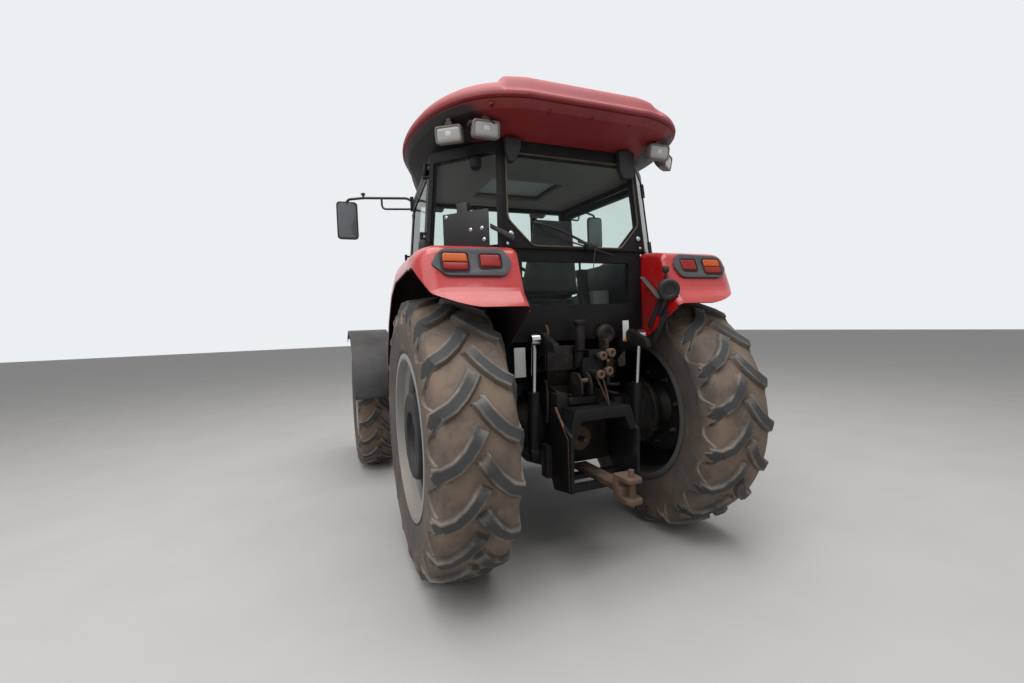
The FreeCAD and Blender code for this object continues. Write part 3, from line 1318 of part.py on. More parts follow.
def drawbar():
    """The drawbar's flat bar and its clevis, with the pin in place."""
    rest = DRAWBAR_LOW + SEAT
    bar = box(-760, HOUSING_REAR - SEAT - 5, -45, 45, rest, DRAWBAR_LOW + 38)
    post = box(-735, -690, -50, 50, rest, DRAWBAR_LOW + 102)
    heel = box(-760, -690, -50, 50, DRAWBAR_LOW - 37, DRAWBAR_LOW + 38)
    jaws = []
    for low, high in ((DRAWBAR_LOW + 78, DRAWBAR_LOW + 102), (DRAWBAR_LOW - 37, DRAWBAR_LOW - 10)):
        jaw = box(-838, -690, -50, 50, low, high)
        rims = [edge for edge in jaw.Edges if edge.BoundBox.ZLength > 20 and edge.BoundBox.XMax < -800]
        jaws.append(jaw.makeFillet(34, rims))
    pin = rod((-790, 0, DRAWBAR_LOW - 62), (-790, 0, DRAWBAR_LOW + 143), 16)
    return fuse([bar, post, heel, pin] + jaws)


def lift_arms():
    """The rockshaft and its two lift arms."""
    x, z = LIFT_AT
    eye_x, eye_z = LIFT_EYE
    shaft = rod((x, -LIFT_ARM_Y[1], z), (x, LIFT_ARM_Y[1], z), LIFT_SHAFT_R)
    outline = [(x + 52, z - 52), (x + 52, z + 52), (eye_x, eye_z + 40), (-560, 1395), (-575, 1345),
               (eye_x, eye_z - 60)]
    return fuse([shaft] + [side_plate(outline, y0, y1) for y0, y1 in both(*LIFT_ARM_Y)])


def lift_housing():
    """The lift's cast cover on the axle housing, with the rockshaft's bearing."""
    x, z = LIFT_AT
    low = HOUSING_TOP + SEAT
    block = side_plate([
        (HOUSING_REAR, low), (30, low), (30, 1250), (x + 80, z + 80), (x - 20, z + 80),
        (HOUSING_REAR, z + 60)], -215, 215)
    return block.cut(rod((x, -220, z), (x, 220, z), LIFT_SHAFT_R + RUN))


def ram_point(z):
    """The x of the lift rams' centre line at height z."""
    foot_x, foot_z = RAM_FOOT
    eye_x, eye_z = LIFT_EYE
    return foot_x + (eye_x - foot_x) * (z - foot_z) / (eye_z - foot_z)


def lift_rams(axle):
    """The two lift rams' barrels, each on a bracket from the axle."""
    foot_x, foot_z = RAM_FOOT
    top = (ram_point(RAM_TOP_Z), RAM_Y, RAM_TOP_Z)
    barrel = rod((foot_x, RAM_Y, foot_z), top, RAM_R)
    bore_low = (ram_point(foot_z + 60), RAM_Y, foot_z + 60)
    barrel = barrel.cut(rod(bore_low, (ram_point(RAM_TOP_Z + 5), RAM_Y, RAM_TOP_Z + 5), RAM_ROD_R + RUN))
    lug = rod((foot_x, RAM_Y - 24, foot_z), (foot_x, RAM_Y + 24, foot_z), 40)
    bracket = side_plate([
        (foot_x - 30, foot_z - 45), (-60, foot_z - 60), (-60, foot_z + 90), (foot_x - 30, foot_z - 5)],
        RAM_Y - 16, RAM_Y + 16).cut(axle)
    bracket = min(bracket.Solids, key=lambda solid: solid.CenterOfMass.x)
    return pair(fuse([barrel, lug, bracket]))


def lift_ram_rods():
    """The rams' chromed rods; their eyes stand beside the lift arms."""
    eye_x, eye_z = LIFT_EYE
    low_z = RAM_FOOT[1] + 250
    bar = rod((ram_point(low_z), RAM_Y, low_z), (eye_x, RAM_Y, eye_z), RAM_ROD_R)
    eye = rod((eye_x, RAM_Y - 26, eye_z), (eye_x, RAM_Y + 26, eye_z), 36)
    return pair(fuse([bar, eye]))


def power_shaft():
    """The power take-off's flange and stub shaft."""
    flange = rod((HOUSING_REAR - SEAT, 0, PTO_Z), (HOUSING_REAR - 22, 0, PTO_Z), 78)
    shaft = rod((HOUSING_REAR - 22, 0, PTO_Z), (PTO_END, 0, PTO_Z), PTO_R)
    return fuse([flange, shaft])


def top_link_bracket():
    """The two ears for the top link, bored for its pin."""
    x, z = TOP_LINK_AT
    back = HOUSING_REAR - SEAT
    ears = [side_plate([(back, 1020), (back, 1160), (x - 20, z + 45), (x - 35, z), (x - 20, z - 35)], y0, y1)
            for y0, y1 in both(26, 46)]
    plate = box(back - 14, back, -70, 70, 1020, 1108)
    bracket = fuse([plate] + ears)
    return bracket.cut(rod((x, -60, z), (x, 60, z), TOP_LINK_R))


def remote_valves():
    """The valve block behind the lift cover, with four hose couplers."""
    back = HOUSING_REAR - SEAT
    block = box(-400, back, -130, 50, 1172, 1290)
    upper = box(-400, back - 30, -130, 0, 1290, 1335)
    couplers = []
    for y, z in COUPLERS:
        couplers.append(rod((-390, y, z), (-470, y, z), 19))
        couplers.append(rod((-470, y, z), (-495, y, z), 15))
    return fuse([block, upper] + couplers)


def control_box():
    """The plate with a small switch box, standing outside the left quarter window."""
    start, end, low, high = CONTROL_BOX
    along = (B_LINE[0] - REAR_LINE[0]).normalize()
    along.z = 0
    along = along.normalize()
    out = V(-along.y, along.x, 0)
    origin = V(REAR_LINE[0].x, REAR_LINE[0].y, 0) + out * 50
    corners = [origin + along * start + V(0, 0, low), origin + along * end + V(0, 0, low),
               origin + along * end + V(0, 0, high), origin + along * start + V(0, 0, high)]
    plate = Part.Face(Part.makePolygon(corners + corners[:1])).extrude(out * 8)
    foot = [origin + along * start, origin + along * end,
            origin + along * end - out * 30, origin + along * start - out * 30]
    foot = [V(p.x, p.y, CAB_LOW) for p in foot]
    foot = Part.Face(Part.makePolygon(foot + foot[:1])).extrude(V(0, 0, 8))
    switch = [origin + along * (start + 140) + out * 8, origin + along * (start + 210) + out * 8,
              origin + along * (start + 210) - out * 34, origin + along * (start + 140) - out * 34]
    switch = [V(p.x, p.y, high - 10) for p in switch]
    switch = Part.Face(Part.makePolygon(switch + switch[:1])).extrude(V(0, 0, 66))
    return fuse([plate, foot, switch])


def main():
    os.makedirs(PARTS_DIR, exist_ok=True)

    for side, name, rear_phase, front_phase in zip((1, -1), ("left", "right"), REAR_PHASE, FRONT_PHASE):
        save("rear_tyre_" + name, tyre(
            REAR_R, REAR_W, REAR_LUG, REAR_FLANGE_R, REAR_BEAD_R, REAR_RIM_W,
            REAR_LUGS, rear_phase, side * REAR_HALF_TRACK, 0, REAR_R))
        save("front_tyre_" + name, tyre(
            FRONT_R, FRONT_W, FRONT_LUG, FRONT_FLANGE_R, FRONT_BEAD_R, FRONT_RIM_W,
            FRONT_LUGS, front_phase, side * FRONT_HALF_TRACK, WHEELBASE, FRONT_R))

    frame, panes = cab_frame()
    door_frame, door_pane = door()
    fender = rear_fender()
    handed = {
        "rear_rim": rear_rim(), "rear_weight": rear_weight(), "front_rim": front_rim(),
        "knuckle": knuckle(), "front_fender": front_fender(), "rear_fender": fender,
        "door": door_frame, "door_glass": door_pane,
    }
    for name, shape in handed.items():
        save(name + "_left", shape)
        save(name + "_right", mirrored(shape))

    axle = rear_axle()
    beam = front_axle()
    roof = cab_roof()
    single = {
        "transmission": transmission(), "rear_axle": axle, "engine": engine(),
        "front_bolster": front_bolster(), "front_axle": beam,
        "steering_cylinder": steering_cylinder(beam), "steering_rod": steering_rod(),
        "radiator": radiator(), "side_tanks": pair(fuel_tank()), "exhaust": exhaust(frame),
        "steps": pair(steps()), "mirrors": pair(mirror(frame)),
        "hood": hood(), "hood_stand": hood_stand(), "grille": grille(), "headlamps": headlamps(),
        "cab_frame": frame, "cab_glass": Part.makeCompound(panes + [roof_hatch()]),
        "cab_roof": roof, "headliner": headliner(), "cab_floor": cab_floor(),
        "cab_cowl": cab_cowl(frame), "seat_base": seat_base(), "seat_pads": seat_pads(),
        "dash": dash(), "steering_wheel": steering_wheel(), "lamp_surrounds": pair(lamp_surround(fender)),
        "tail_lamps": tail_lamps(), "work_lamps": work_lamps(roof), "control_box": control_box(),
        "drawbar_frame": drawbar_frame(), "drawbar": drawbar(), "lift_housing": lift_housing(),
        "lift_arms": lift_arms(), "lift_rams": lift_rams(axle), "lift_ram_rods": lift_ram_rods(),
        "power_shaft": power_shaft(), "top_link_bracket": top_link_bracket(),
        "remote_valves": remote_valves(),
    }
    for name, shape in single.items():
        save(name, shape)


main()
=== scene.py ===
# %% [markdown]
# A farm tractor that has worked a season: glossy red panels, a roof gone dull in the sun,
# black castings under a film of oil and dust, and four lugged tyres. The CAD model is the
# skeleton. This script dresses it: each cell takes one piece or one finish, says what it is
# on the real machine, and how it is made here.

# %% Start
import math

import bmesh
import bpy
import numpy as np
from mathutils import Matrix, Vector
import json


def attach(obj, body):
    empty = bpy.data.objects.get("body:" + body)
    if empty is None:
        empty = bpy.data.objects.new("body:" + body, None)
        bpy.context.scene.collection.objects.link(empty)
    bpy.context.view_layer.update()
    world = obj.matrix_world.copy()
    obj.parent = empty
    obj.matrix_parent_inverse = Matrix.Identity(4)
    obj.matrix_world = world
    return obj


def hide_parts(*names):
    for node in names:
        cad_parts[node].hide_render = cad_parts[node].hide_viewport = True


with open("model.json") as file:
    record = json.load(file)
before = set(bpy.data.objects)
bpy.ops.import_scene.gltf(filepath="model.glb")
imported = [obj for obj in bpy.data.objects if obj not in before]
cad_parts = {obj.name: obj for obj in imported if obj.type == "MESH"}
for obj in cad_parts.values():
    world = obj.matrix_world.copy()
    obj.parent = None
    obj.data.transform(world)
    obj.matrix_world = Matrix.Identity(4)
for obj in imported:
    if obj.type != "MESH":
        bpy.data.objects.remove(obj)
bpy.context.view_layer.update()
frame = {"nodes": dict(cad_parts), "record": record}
nodes = frame["nodes"]

# %% [markdown]
# The camera stands low behind the left rear wheel with a very wide lens, so it comes first:
# every later choice is judged through it. Its place and turn were worked out from the
# wheels' circles and the cab's corners.

# %% Camera
eye = Vector((-4.1301, 1.4875, 1.5171))
yaw, pitch, roll = (math.radians(angle) for angle in (-21.994, -2.245, -2.011))
ahead = Vector((math.cos(pitch) * math.cos(yaw), math.cos(pitch) * math.sin(yaw), math.sin(pitch)))
level_right = ahead.cross(Vector((0, 0, 1))).normalized()
level_up = level_right.cross(ahead)
right = level_right * math.cos(roll) + level_up * math.sin(roll)
up = level_up * math.cos(roll) - level_right * math.sin(roll)

lens = bpy.data.cameras.new("photo_lens")
SENSOR_MM, FOCAL_PIXELS, PICTURE_WIDTH = 36.0, 455.14, 1024
lens.sensor_width = SENSOR_MM
lens.lens = SENSOR_MM * FOCAL_PIXELS / PICTURE_WIDTH
lens.clip_start = 0.05
camera = bpy.data.objects.new("photo_camera", lens)
camera.matrix_world = Matrix.Translation(eye) @ Matrix((right, up, -ahead)).transposed().to_4x4()
bpy.context.collection.objects.link(camera)
bpy.context.scene.camera = camera
print("camera", tuple(round(v, 2) for v in eye), "lens", round(lens.lens, 2))

# %% [markdown]
# Shader maths reads best as sums. Term wraps one output socket, and its operators add Math
# nodes, so that a mask can be written as 1 - mask * 0.5. Paint is one material: its node
# method adds any other kind of node from its type, settings and inputs.

# %% Shader expressions
class Term:
    """An output socket on which Python's operators build Math nodes."""

    def __init__(self, paint, socket):
        self.paint, self.socket = paint, socket

    def maths(self, operation, first, second=None, clamp=False):
        values = [first] if second is None else [first, second]
        return self.paint.node("Math", {"operation": operation, "use_clamp": clamp}, values)

    def __add__(self, other):
        return self.maths("ADD", self, other)

    def __sub__(self, other):
        return self.maths("SUBTRACT", self, other)

    def __rsub__(self, other):
        return self.maths("SUBTRACT", other, self)

    def __mul__(self, other):
        return self.maths("MULTIPLY", self, other)

    def __pow__(self, other):
        return self.maths("POWER", self, other)

    __radd__, __rmul__ = __add__, __mul__

    def held(self):
        """The value kept between 0 and 1."""
        return self.maths("ADD", self, 0.0, clamp=True)

    def above(self, low, high):
        """0 below low, 1 above high, and a ramp between."""
        return ((self - low) * (1.0 / (high - low))).held()


class Paint:
    """A material, written with node() and finished with close()."""

    def __init__(self, name):
        self.material = bpy.data.materials.get(name) or bpy.data.materials.new(name)
        self.material.use_nodes = True
        self.nodes = self.material.node_tree.nodes
        self.links = self.material.node_tree.links
        self.nodes.clear()
        self.place = self.node("TexCoord", {}, [], "Object")

    def node(self, kind, settings, inputs, output=0):
        made = self.nodes.new("ShaderNode" + kind)
        for name, value in settings.items():
            if name == "stops":
                for index, (position, colour) in enumerate(value):
                    stops = made.color_ramp.elements
                    stop = stops[index] if index < len(stops) else stops.new(position)
                    stop.position, stop.color = position, (*colour, 1)
            else:
                setattr(made, name, value)
        pairs = inputs.items() if isinstance(inputs, dict) else enumerate(inputs)
        for name, value in pairs:
            if isinstance(value, Term):
                self.links.new(value.socket, made.inputs[name])
            elif value is not None:
                socket = made.inputs[name]
                if socket.type == "RGBA" and len(value) == 3:
                    value = (*value, 1)
                socket.default_value = value
        return Term(self, made.outputs[output])

    def noise(self, scale, detail=4.0, rough=0.55, squash=(1, 1, 1), seed=0.0):
        place = self.place
        if squash != (1, 1, 1) or seed:
            place = self.node("Mapping", {}, {"Vector": place, "Scale": squash, "Location": (seed,) * 3})
        return self.node("TexNoise", {}, {
            "Vector": place, "Scale": scale, "Detail": detail, "Roughness": rough}, "Fac")

    def mix(self, share, first, second):
        return self.node("Mix", {"data_type": "RGBA"}, {0: share, 6: first, 7: second}, 2)

    def attribute(self, name):
        return self.node("Attribute", {"attribute_name": name}, [], "Fac")

    def facing_up(self):
        """1 on level tops, 0 on walls and undersides."""
        normal = self.node("NewGeometry", {}, [], "Normal")
        return self.node("SeparateXYZ", {}, [normal], "Z").held()

    def close(self, colour, rough, metal=0.0, bump=None, strength=0.3, depth=0.001, **constants):
        sockets = {"Base Color": colour, "Roughness": rough, "Metallic": metal}
        if bump is not None:
            sockets["Normal"] = self.node(
                "Bump", {}, {"Height": bump, "Strength": strength, "Distance": depth}, "Normal")
        names = {key: key.replace("_", " ").title().replace("Ior", "IOR") for key in constants}
        sockets.update({names[key]: value for key, value in constants.items()})
        shader = self.node("BsdfPrincipled", {}, sockets, "BSDF")
        self.node_output(shader)
        return self.material

    def node_output(self, shader):
        out = self.nodes.new("ShaderNodeOutputMaterial")
        self.links.new(shader.socket, out.inputs["Surface"])


DUST = (0.33, 0.25, 0.18)
RUST = (0.095, 0.048, 0.027)
finishes = {}
print("shader helpers ready")

# %% [markdown]
# Tyre rubber is never black outdoors. Fine tan dust settles between the lugs and on the sidewall, and the
# lugs' own faces are scuffed to a dull grey with pale edges, partly worn and partly a painted highlight.
# Each tyre's mesh carries how dusty it is and where its pale edges run as attributes, and noise breaks them
# up.

# %% Tyre rubber
def tyre_rubber():
    paint = Paint("tyre")
    patches = paint.noise(7.0, 5.0, 0.62)
    stains = paint.noise(3.1, 6.0, 0.7, seed=2.0).above(0.40, 0.62)
    grain = paint.noise(90.0, 3.0, 0.6)
    dusty = (paint.attribute("dust") * (0.30 + patches * 0.9 + stains * 0.42)).held()
    # pale edges: partly wear, partly painted highlight on the lugs' crests and the pocket's lip
    edge = (paint.attribute("edge") * patches.above(0.35, 0.62)).held()
    rubber = paint.mix(patches, (0.020, 0.020, 0.021), (0.055, 0.053, 0.051))
    colour = paint.mix((dusty * dusty * 0.80).held(), rubber, (0.205, 0.143, 0.100))
    colour = paint.mix((edge * 0.62).held(), colour, (0.30, 0.265, 0.23))
    colour = paint.mix(grain.above(0.62, 0.72) * 0.35, colour, (0.045, 0.04, 0.036))
    height = grain * 0.4 + patches * 0.6
    return paint.close(colour, 0.86 - patches * 0.14, bump=height, strength=0.45, depth=0.004)


finishes["tyre"] = tyre_rubber()
print("finish tyre")

# %% [markdown]
# Panel paint is a coloured layer under clear lacquer: a coat on top gives the sharp
# reflection. Dust gathers on what faces up and in faint streaks. The moulded roof is the
# same red plastic gone chalky, so it has no coat, and its top is paler than its sides.

# %% Red panels and the roof
def panel_red():
    paint = Paint("red_paint")
    film = paint.noise(3.2, 5.0, 0.6)
    fine = paint.noise(60.0, 3.0, 0.5)
    dust = (paint.facing_up() * 0.32 * film.above(0.3, 0.75) + fine.above(0.55, 0.75) * 0.07).held()
    # The attribute read here marks painted shade: there the paint goes near black and loses its coat.
    under = paint.attribute("under")
    red = paint.mix(film, (0.36, 0.004, 0.006), (0.46, 0.008, 0.010))
    colour = paint.mix(dust, red, (0.52, 0.27, 0.22))
    shade_paint = paint.mix(film, (0.012, 0.007, 0.006), (0.030, 0.018, 0.015))
    return paint.close(paint.mix(under, colour, shade_paint), (0.30 + dust * 0.35 + under * 0.5).held(),
                       bump=film, strength=0.05, depth=0.01, coat_weight=(1 - under) * 0.5,
                       coat_roughness=0.08, specular_ior_level=0.35)


def roof_red():
    paint = Paint("roof_red")
    film = paint.noise(2.4, 6.0, 0.62)
    pores = paint.noise(220.0, 2.0, 0.5)
    streaks = paint.noise(5.0, 4.0, 0.6, squash=(1, 1, 0.2), seed=4.0)
    top = paint.facing_up()
    dust = (top ** 1.2 * (0.55 + film * 0.5) + streaks.above(0.45, 0.8) * 0.12).held()
    red = paint.mix(film, (0.17, 0.012, 0.016), (0.25, 0.022, 0.026))
    colour = paint.mix(dust * 0.66, red, (0.56, 0.19, 0.195))
    # painted shade: near black where the mesh's attribute marks it
    colour = paint.mix(paint.attribute("under"), colour, (0.012, 0.010, 0.010))
    return paint.close(colour, 0.55 + dust * 0.3, bump=pores * 0.5 + film * 0.5, strength=0.2, depth=0.002)


finishes["red_paint"] = panel_red()
finishes["roof_red"] = roof_red()
print("finishes red_paint, roof_red")

# %% [markdown]
# The castings and brackets behind the axle are black paint under oil, with dry tan dust in
# the hollows and brown rust where the paint has gone. One function writes them all: it takes
# how bright the paint is and how much rust and dust shows.

# %% Castings, frames and steels
def working_metal(name, paint_low, paint_high, rust, dust, rough, metal=0.0, patch=9.0):
    paint = Paint(name)
    broad = paint.noise(patch, 6.0, 0.65)
    fine = paint.noise(patch * 9, 4.0, 0.6)
    spots = (broad * 0.6 + fine * 0.4)
    rusty = spots.above(0.62 - rust * 0.25, 0.70 - rust * 0.2)
    dusty = ((paint.facing_up() * 0.6 + 0.25) * broad.above(0.35, 0.75) * dust).held()
    colour = paint.mix(fine, paint_low, paint_high)
    colour = paint.mix(rusty * min(1.0, rust * 1.6), colour, RUST)
    colour = paint.mix(dusty, colour, DUST)
    # painted shade: near black where the mesh's attribute marks it
    colour = paint.mix(paint.attribute("under"), colour, (0.012, 0.011, 0.010))
    return paint.close(colour, (rusty * 0.3 + dusty * 0.3 + rough).held(), metal - rusty * metal,
                       bump=fine * 0.4 + broad * 0.6, strength=0.35, depth=0.002,
                       specular_ior_level=0.5 if metal else 0.15)


WORN_METALS = (         # darker paint, lighter paint, rust, dust, roughness, metallic where not 0
    ("chassis_grey", (0.006, 0.006, 0.0065), (0.020, 0.018, 0.017), 0.32, 0.16, 0.5),
    ("black_frame", (0.004, 0.004, 0.0045), (0.011, 0.011, 0.012), 0.14, 0.06, 0.5),
    ("cast_grey", (0.012, 0.013, 0.015), (0.026, 0.028, 0.031), 0.10, 0.22, 0.55),
    ("wheel_silver", (0.22, 0.215, 0.21), (0.31, 0.305, 0.30), 0.08, 1.0, 0.5, 0.1),
    ("dull_black", (0.008, 0.008, 0.009), (0.018, 0.018, 0.018), 0.05, 0.16, 0.6),
    ("rusty_edge", (0.10, 0.055, 0.035), (0.24, 0.13, 0.08), 0.75, 0.35, 0.7),
    ("pale_paint", (0.50, 0.51, 0.50), (0.62, 0.62, 0.60), 0.02, 0.2, 0.45),
    ("steel", (0.05, 0.036, 0.028), (0.12, 0.092, 0.075), 0.75, 0.18, 0.55, 0.4),
    ("chrome", (0.42, 0.42, 0.44), (0.52, 0.52, 0.54), 0.0, 0.12, 0.2, 1.0))
for name, *look in WORN_METALS:
    finishes[name] = working_metal(name, *look)
print("finishes", sorted(finishes))

# %% [markdown]
# Moulded plastics differ mostly in their skin: a fine leather grain on trim, a near smooth
# skin on lenses. Fabric is a weave of two crossed waves that follow Object coordinates.

# %% Plastics, lenses, fabric and glass
def moulding(name, low, high, rough, dust=0.3, grain=320.0, coat=0.0):
    paint = Paint(name)
    broad = paint.noise(5.0, 5.0, 0.6)
    skin = paint.node("TexVoronoi", {"feature": "F1"}, {"Vector": paint.place, "Scale": grain}, "Distance")
    dusty = ((paint.facing_up() * 0.7 + 0.15) * broad.above(0.3, 0.8) * dust).held()
    colour = paint.mix(dusty, paint.mix(broad, low, high), DUST)
    return paint.close(colour, (dusty * 0.3 + rough).held(), bump=skin, strength=0.12, depth=0.001,
                       coat_weight=coat, specular_ior_level=0.5 if coat else 0.3)


def seat_cloth():
    paint = Paint("seat_fabric")
    warp = paint.node("TexWave", {"bands_direction": "Y"}, {"Vector": paint.place, "Scale": 160.0}, "Fac")
    weft = paint.node("TexWave", {"bands_direction": "Z"}, {"Vector": paint.place, "Scale": 160.0}, "Fac")
    soil = paint.noise(6.0, 4.0)
    weave = warp * weft
    colour = paint.mix(weave, (0.030, 0.030, 0.033), (0.085, 0.083, 0.085))
    return paint.close(paint.mix(soil.above(0.5, 0.8) * 0.3, colour, DUST), 0.9,
                       bump=weave, strength=0.4, depth=0.0015, sheen_weight=0.3)


def tinted_glass():
    paint = Paint("glass")
    film = paint.noise(3.0, 5.0, 0.6)
    haze = film.above(0.35, 0.9)
    clear = paint.node("BsdfTransparent", {}, {"Color": (0.93, 0.97, 0.955)}, "BSDF")
    shine = paint.node("BsdfPrincipled", {}, {
        "Base Color": (0.05, 0.07, 0.065), "Roughness": 0.04, "Specular IOR Level": 0.6}, "BSDF")
    rim = paint.node("Fresnel", {}, {"IOR": 1.45}, "Fac")
    front = 1 - paint.node("NewGeometry", {}, [], "Backfacing")
    share = (rim * front * 0.85 + haze * 0.05 + 0.01).held()
    paint.node_output(paint.node("MixShader", {}, [share, clear, shine], "Shader"))
    return paint.material


MOULDINGS = (           # darker, lighter, roughness, dust, then the grain's scale and the coat
    ("black_plastic", (0.010, 0.011, 0.013), (0.022, 0.024, 0.028), 0.5, 0.22),
    ("trim_grey", (0.17, 0.175, 0.18), (0.25, 0.25, 0.25), 0.6, 0.15),
    ("lamp_grey", (0.048, 0.050, 0.054), (0.070, 0.074, 0.080), 0.55, 0.15),
    ("lamp_lens", (0.17, 0.003, 0.002), (0.28, 0.006, 0.004), 0.32, 0.05, 60.0),
    ("lamp_amber", (0.34, 0.050, 0.002), (0.56, 0.100, 0.005), 0.32, 0.05, 60.0),
    ("lamp_clear", (0.30, 0.29, 0.28), (0.48, 0.47, 0.46), 0.14, 0.12, 160.0, 0.3),
    ("lamp_bezel", (0.13, 0.12, 0.11), (0.24, 0.22, 0.20), 0.5, 0.30),
    ("blind", (0.42, 0.55, 0.58), (0.50, 0.62, 0.64), 0.6, 0.0),
    ("lamp_bulb", (0.55, 0.55, 0.55), (0.65, 0.65, 0.66), 0.3, 0.0, 200.0, 0.2),
    ("mirror_face", (0.05, 0.06, 0.065), (0.10, 0.115, 0.12), 0.15, 0.1, 60.0, 0.35),
    ("dusty_rubber", (0.035, 0.026, 0.020), (0.12, 0.085, 0.06), 0.8, 0.5),
    # a darker copy of the roof's red: painted shade in the screw recesses
    ("roof_red_deep", (0.12, 0.008, 0.010), (0.17, 0.012, 0.014), 0.6, 0.2))
for name, *look in MOULDINGS:
    finishes[name] = moulding(name, *look)
finishes["seat_fabric"] = seat_cloth()
finishes["glass"] = tinted_glass()
print("finishes", len(finishes))

# %% [markdown]
# Every CAD node that stays gets the finish of the slot that the record gives it.

# %% Finishes onto the CAD nodes
node_slot = {part["node"]: part["material_slot"] for part in frame["record"]["subparts"]}
for name, obj in nodes.items():
    obj.data.materials.clear()
    obj.data.materials.append(finishes[node_slot[name]])
print("dressed", len(nodes), "nodes")

# %% [markdown]
# Lengths are metres and the rear axle stands at AXLE_X.

# %% Mesh helpers
AXLE_X, WHEELBASE = -1.315, 2.585
REAR_RADIUS, REAR_HALF_TRACK = 0.850, 0.843
FRONT_RADIUS, FRONT_HALF_TRACK = 0.665, 1.046
bpy.context.scene.cursor.location = (0, 0, 0)


def clamped(value):
    return min(max(value, 0.0), 1.0)


def eased(share):
    """A share between 0 and 1 that starts and ends softly."""
    return share * share * (3 - 2 * share)


def holder_of(name, mesh):
    """A linked object that holds the mesh."""
    holder = bpy.data.objects.new(name, mesh)
    bpy.context.collection.objects.link(holder)
    return holder


def mesh_of(name, points, faces):
    mesh = bpy.data.meshes.new(name)
    mesh.from_pydata([tuple(point) for point in points], [], faces)
    return mesh


def cleaned(mesh, merge=None):
    """Points nearer than merge become one, and the faces turn outwards."""
    shape = bmesh.new()
    shape.from_mesh(mesh)
    if merge:
        bmesh.ops.remove_doubles(shape, verts=shape.verts, dist=merge)
    bmesh.ops.recalc_face_normals(shape, faces=shape.faces)
    shape.to_mesh(mesh)
    shape.free()
    return mesh


def painted(mesh, label, values):
    """One number for each point, which the materials read by its label."""
    mesh.attributes.new(label, "FLOAT", "POINT").data.foreach_set("value", values)


def round_edges(obj, width, degrees, segments=2):
    """A live Bevel on every edge that is sharper than the given angle."""
    rounding = obj.modifiers.new("round", "BEVEL")
    rounding.limit_method, rounding.angle_limit = "ANGLE", math.radians(degrees)
    rounding.width, rounding.segments = width, segments


def build(name, points, faces, finish, body, replaces=(), crease=35.0):
    mesh = cleaned(mesh_of(name, points, faces), merge=1e-5)
    return place(name, mesh, finish, body, replaces, crease)


def place(name, mesh, finish, body, replaces=(), crease=35.0):
    piece = holder_of(name, mesh)
    mesh.materials.clear()
    mesh.materials.append(finishes[finish])
    mesh.shade_smooth()
    mesh.set_sharp_from_angle(angle=math.radians(crease))
    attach(piece, body)
    if replaces:
        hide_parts(*replaces)
    return piece


def swept(rings, close_ends=True, loop=False):
    """Points and faces of the skin over rings that have the same number of points."""
    count = len(rings[0])
    points = [point for ring in rings for point in ring]
    faces = []
    spans = len(rings) if loop else len(rings) - 1
    for row in range(spans):
        here, there = row * count, (row + 1) % len(rings) * count
        for step in range(count):
            following = (step + 1) % count
            faces.append((here + step, here + following, there + following, there + step))
    if close_ends and not loop:
        faces.append(tuple(range(count))[::-1])
        faces.append(tuple(range(len(points) - count, len(points))))
    return points, faces


def evaluated(obj):
    """The object's mesh with its modifiers applied, which are then removed."""
    mesh = bpy.data.meshes.new_from_object(obj.evaluated_get(bpy.context.evaluated_depsgraph_get()))
    obj.modifiers.clear()
    return mesh


def plain(obj):
    """The object's evaluated mesh, with the object itself removed."""
    mesh = evaluated(obj)
    bpy.data.objects.remove(obj)
    return mesh


print("mesh helpers ready")

# %% [markdown]
# A drive tyre is a smooth carcass with long rubber lugs, set in two rows that meet in
# arrow heads at the tread's middle. A lug is not a bar: it starts almost along the tread,
# turns outward in a curve, and runs down the shoulder, where the space between two lugs
# ends in a scalloped pocket. One lug is modelled from short tables measured on the
# photograph, and Geometry Nodes copy it round the wheel. The carcass is turned from the
# same section, with the pocket's lower edge moved in and out between the lugs.

# %% Tyre tables
LUG_LEADING_EDGE = (        # across the tread in metres, degrees back round the wheel
    (0.030, 0.0), (0.065, 3.8), (0.098, 6.9), (0.149, 10.1), (0.190, 11.9), (0.215, 12.7))
LUG_SKIRT = (               # across the lug from its flank's foot, share of the lug's height
    (-0.016, -0.12), (-0.009, 0.06), (-0.0045, 0.32), (0.0, 0.93), (0.006, 1.0), (0.014, 1.0))
REAR_SECTION = (            # across, radius, lug height there: the carcass between the lugs
    (0.0, 0.8190, 0.0305), (0.090, 0.8165, 0.0310), (0.150, 0.8105, 0.0310), (0.185, 0.8010, 0.0320),
    (0.202, 0.7850, 0.0330), (0.2120, 0.7600, 0.0260), (0.2190, 0.7280, 0.0190), (0.2260, 0.6980, 0.0100),
    (0.2325, 0.6800, 0.0), (0.2335, 0.6450, 0.0), (0.2310, 0.6050, 0.0), (0.2250, 0.5700, 0.0),
    (0.2200, 0.5450, 0.0), (0.2205, 0.5300, 0.0), (0.2120, 0.5210, 0.0))
LUG_WIDTH = 0.066
LUG_TOP = 4                 # the first point of the skirt that lies on the lug's top
NOSE_ROWS = len(LUG_SKIRT) - 2
TAIL_START, TAIL_STEP = 1.3, 1.25       # degrees back down the shoulder: the first row, each next row
TAIL_TURN = 5.0             # degrees from the end of the leading edge to the middle of the tail
TAIL_RUN, TAIL_FLARE = Vector((0.25, 0.06)), 0.16
print("lug edge points", len(LUG_LEADING_EDGE), "section points", len(REAR_SECTION))

# %% [markdown]
# A lug is a stack of cross sections, one at each station of its leading edge and one at each row of the
# shoulder. Each cross section is a skirt up, a flat top and a skirt down. Its points remember how dusty they
# are and how pale their edges are, partly from wear and partly as a painted highlight, so that the rubber
# finish can read it.

# %% One lug
def along_section(section, across):
    """Radius, lug height and outward normal where the section is this far across the tread."""
    for (y0, r0, h0), (y1, r1, h1) in zip(section, section[1:]):
        if across <= y1:
            share = (across - y0) / (y1 - y0)
            run = math.hypot(y1 - y0, r1 - r0)
            return r0 + (r1 - r0) * share, h0 + (h1 - h0) * share, (-(r1 - r0) / run, (y1 - y0) / run)
    return r1, h1, (1.0, 0.0)


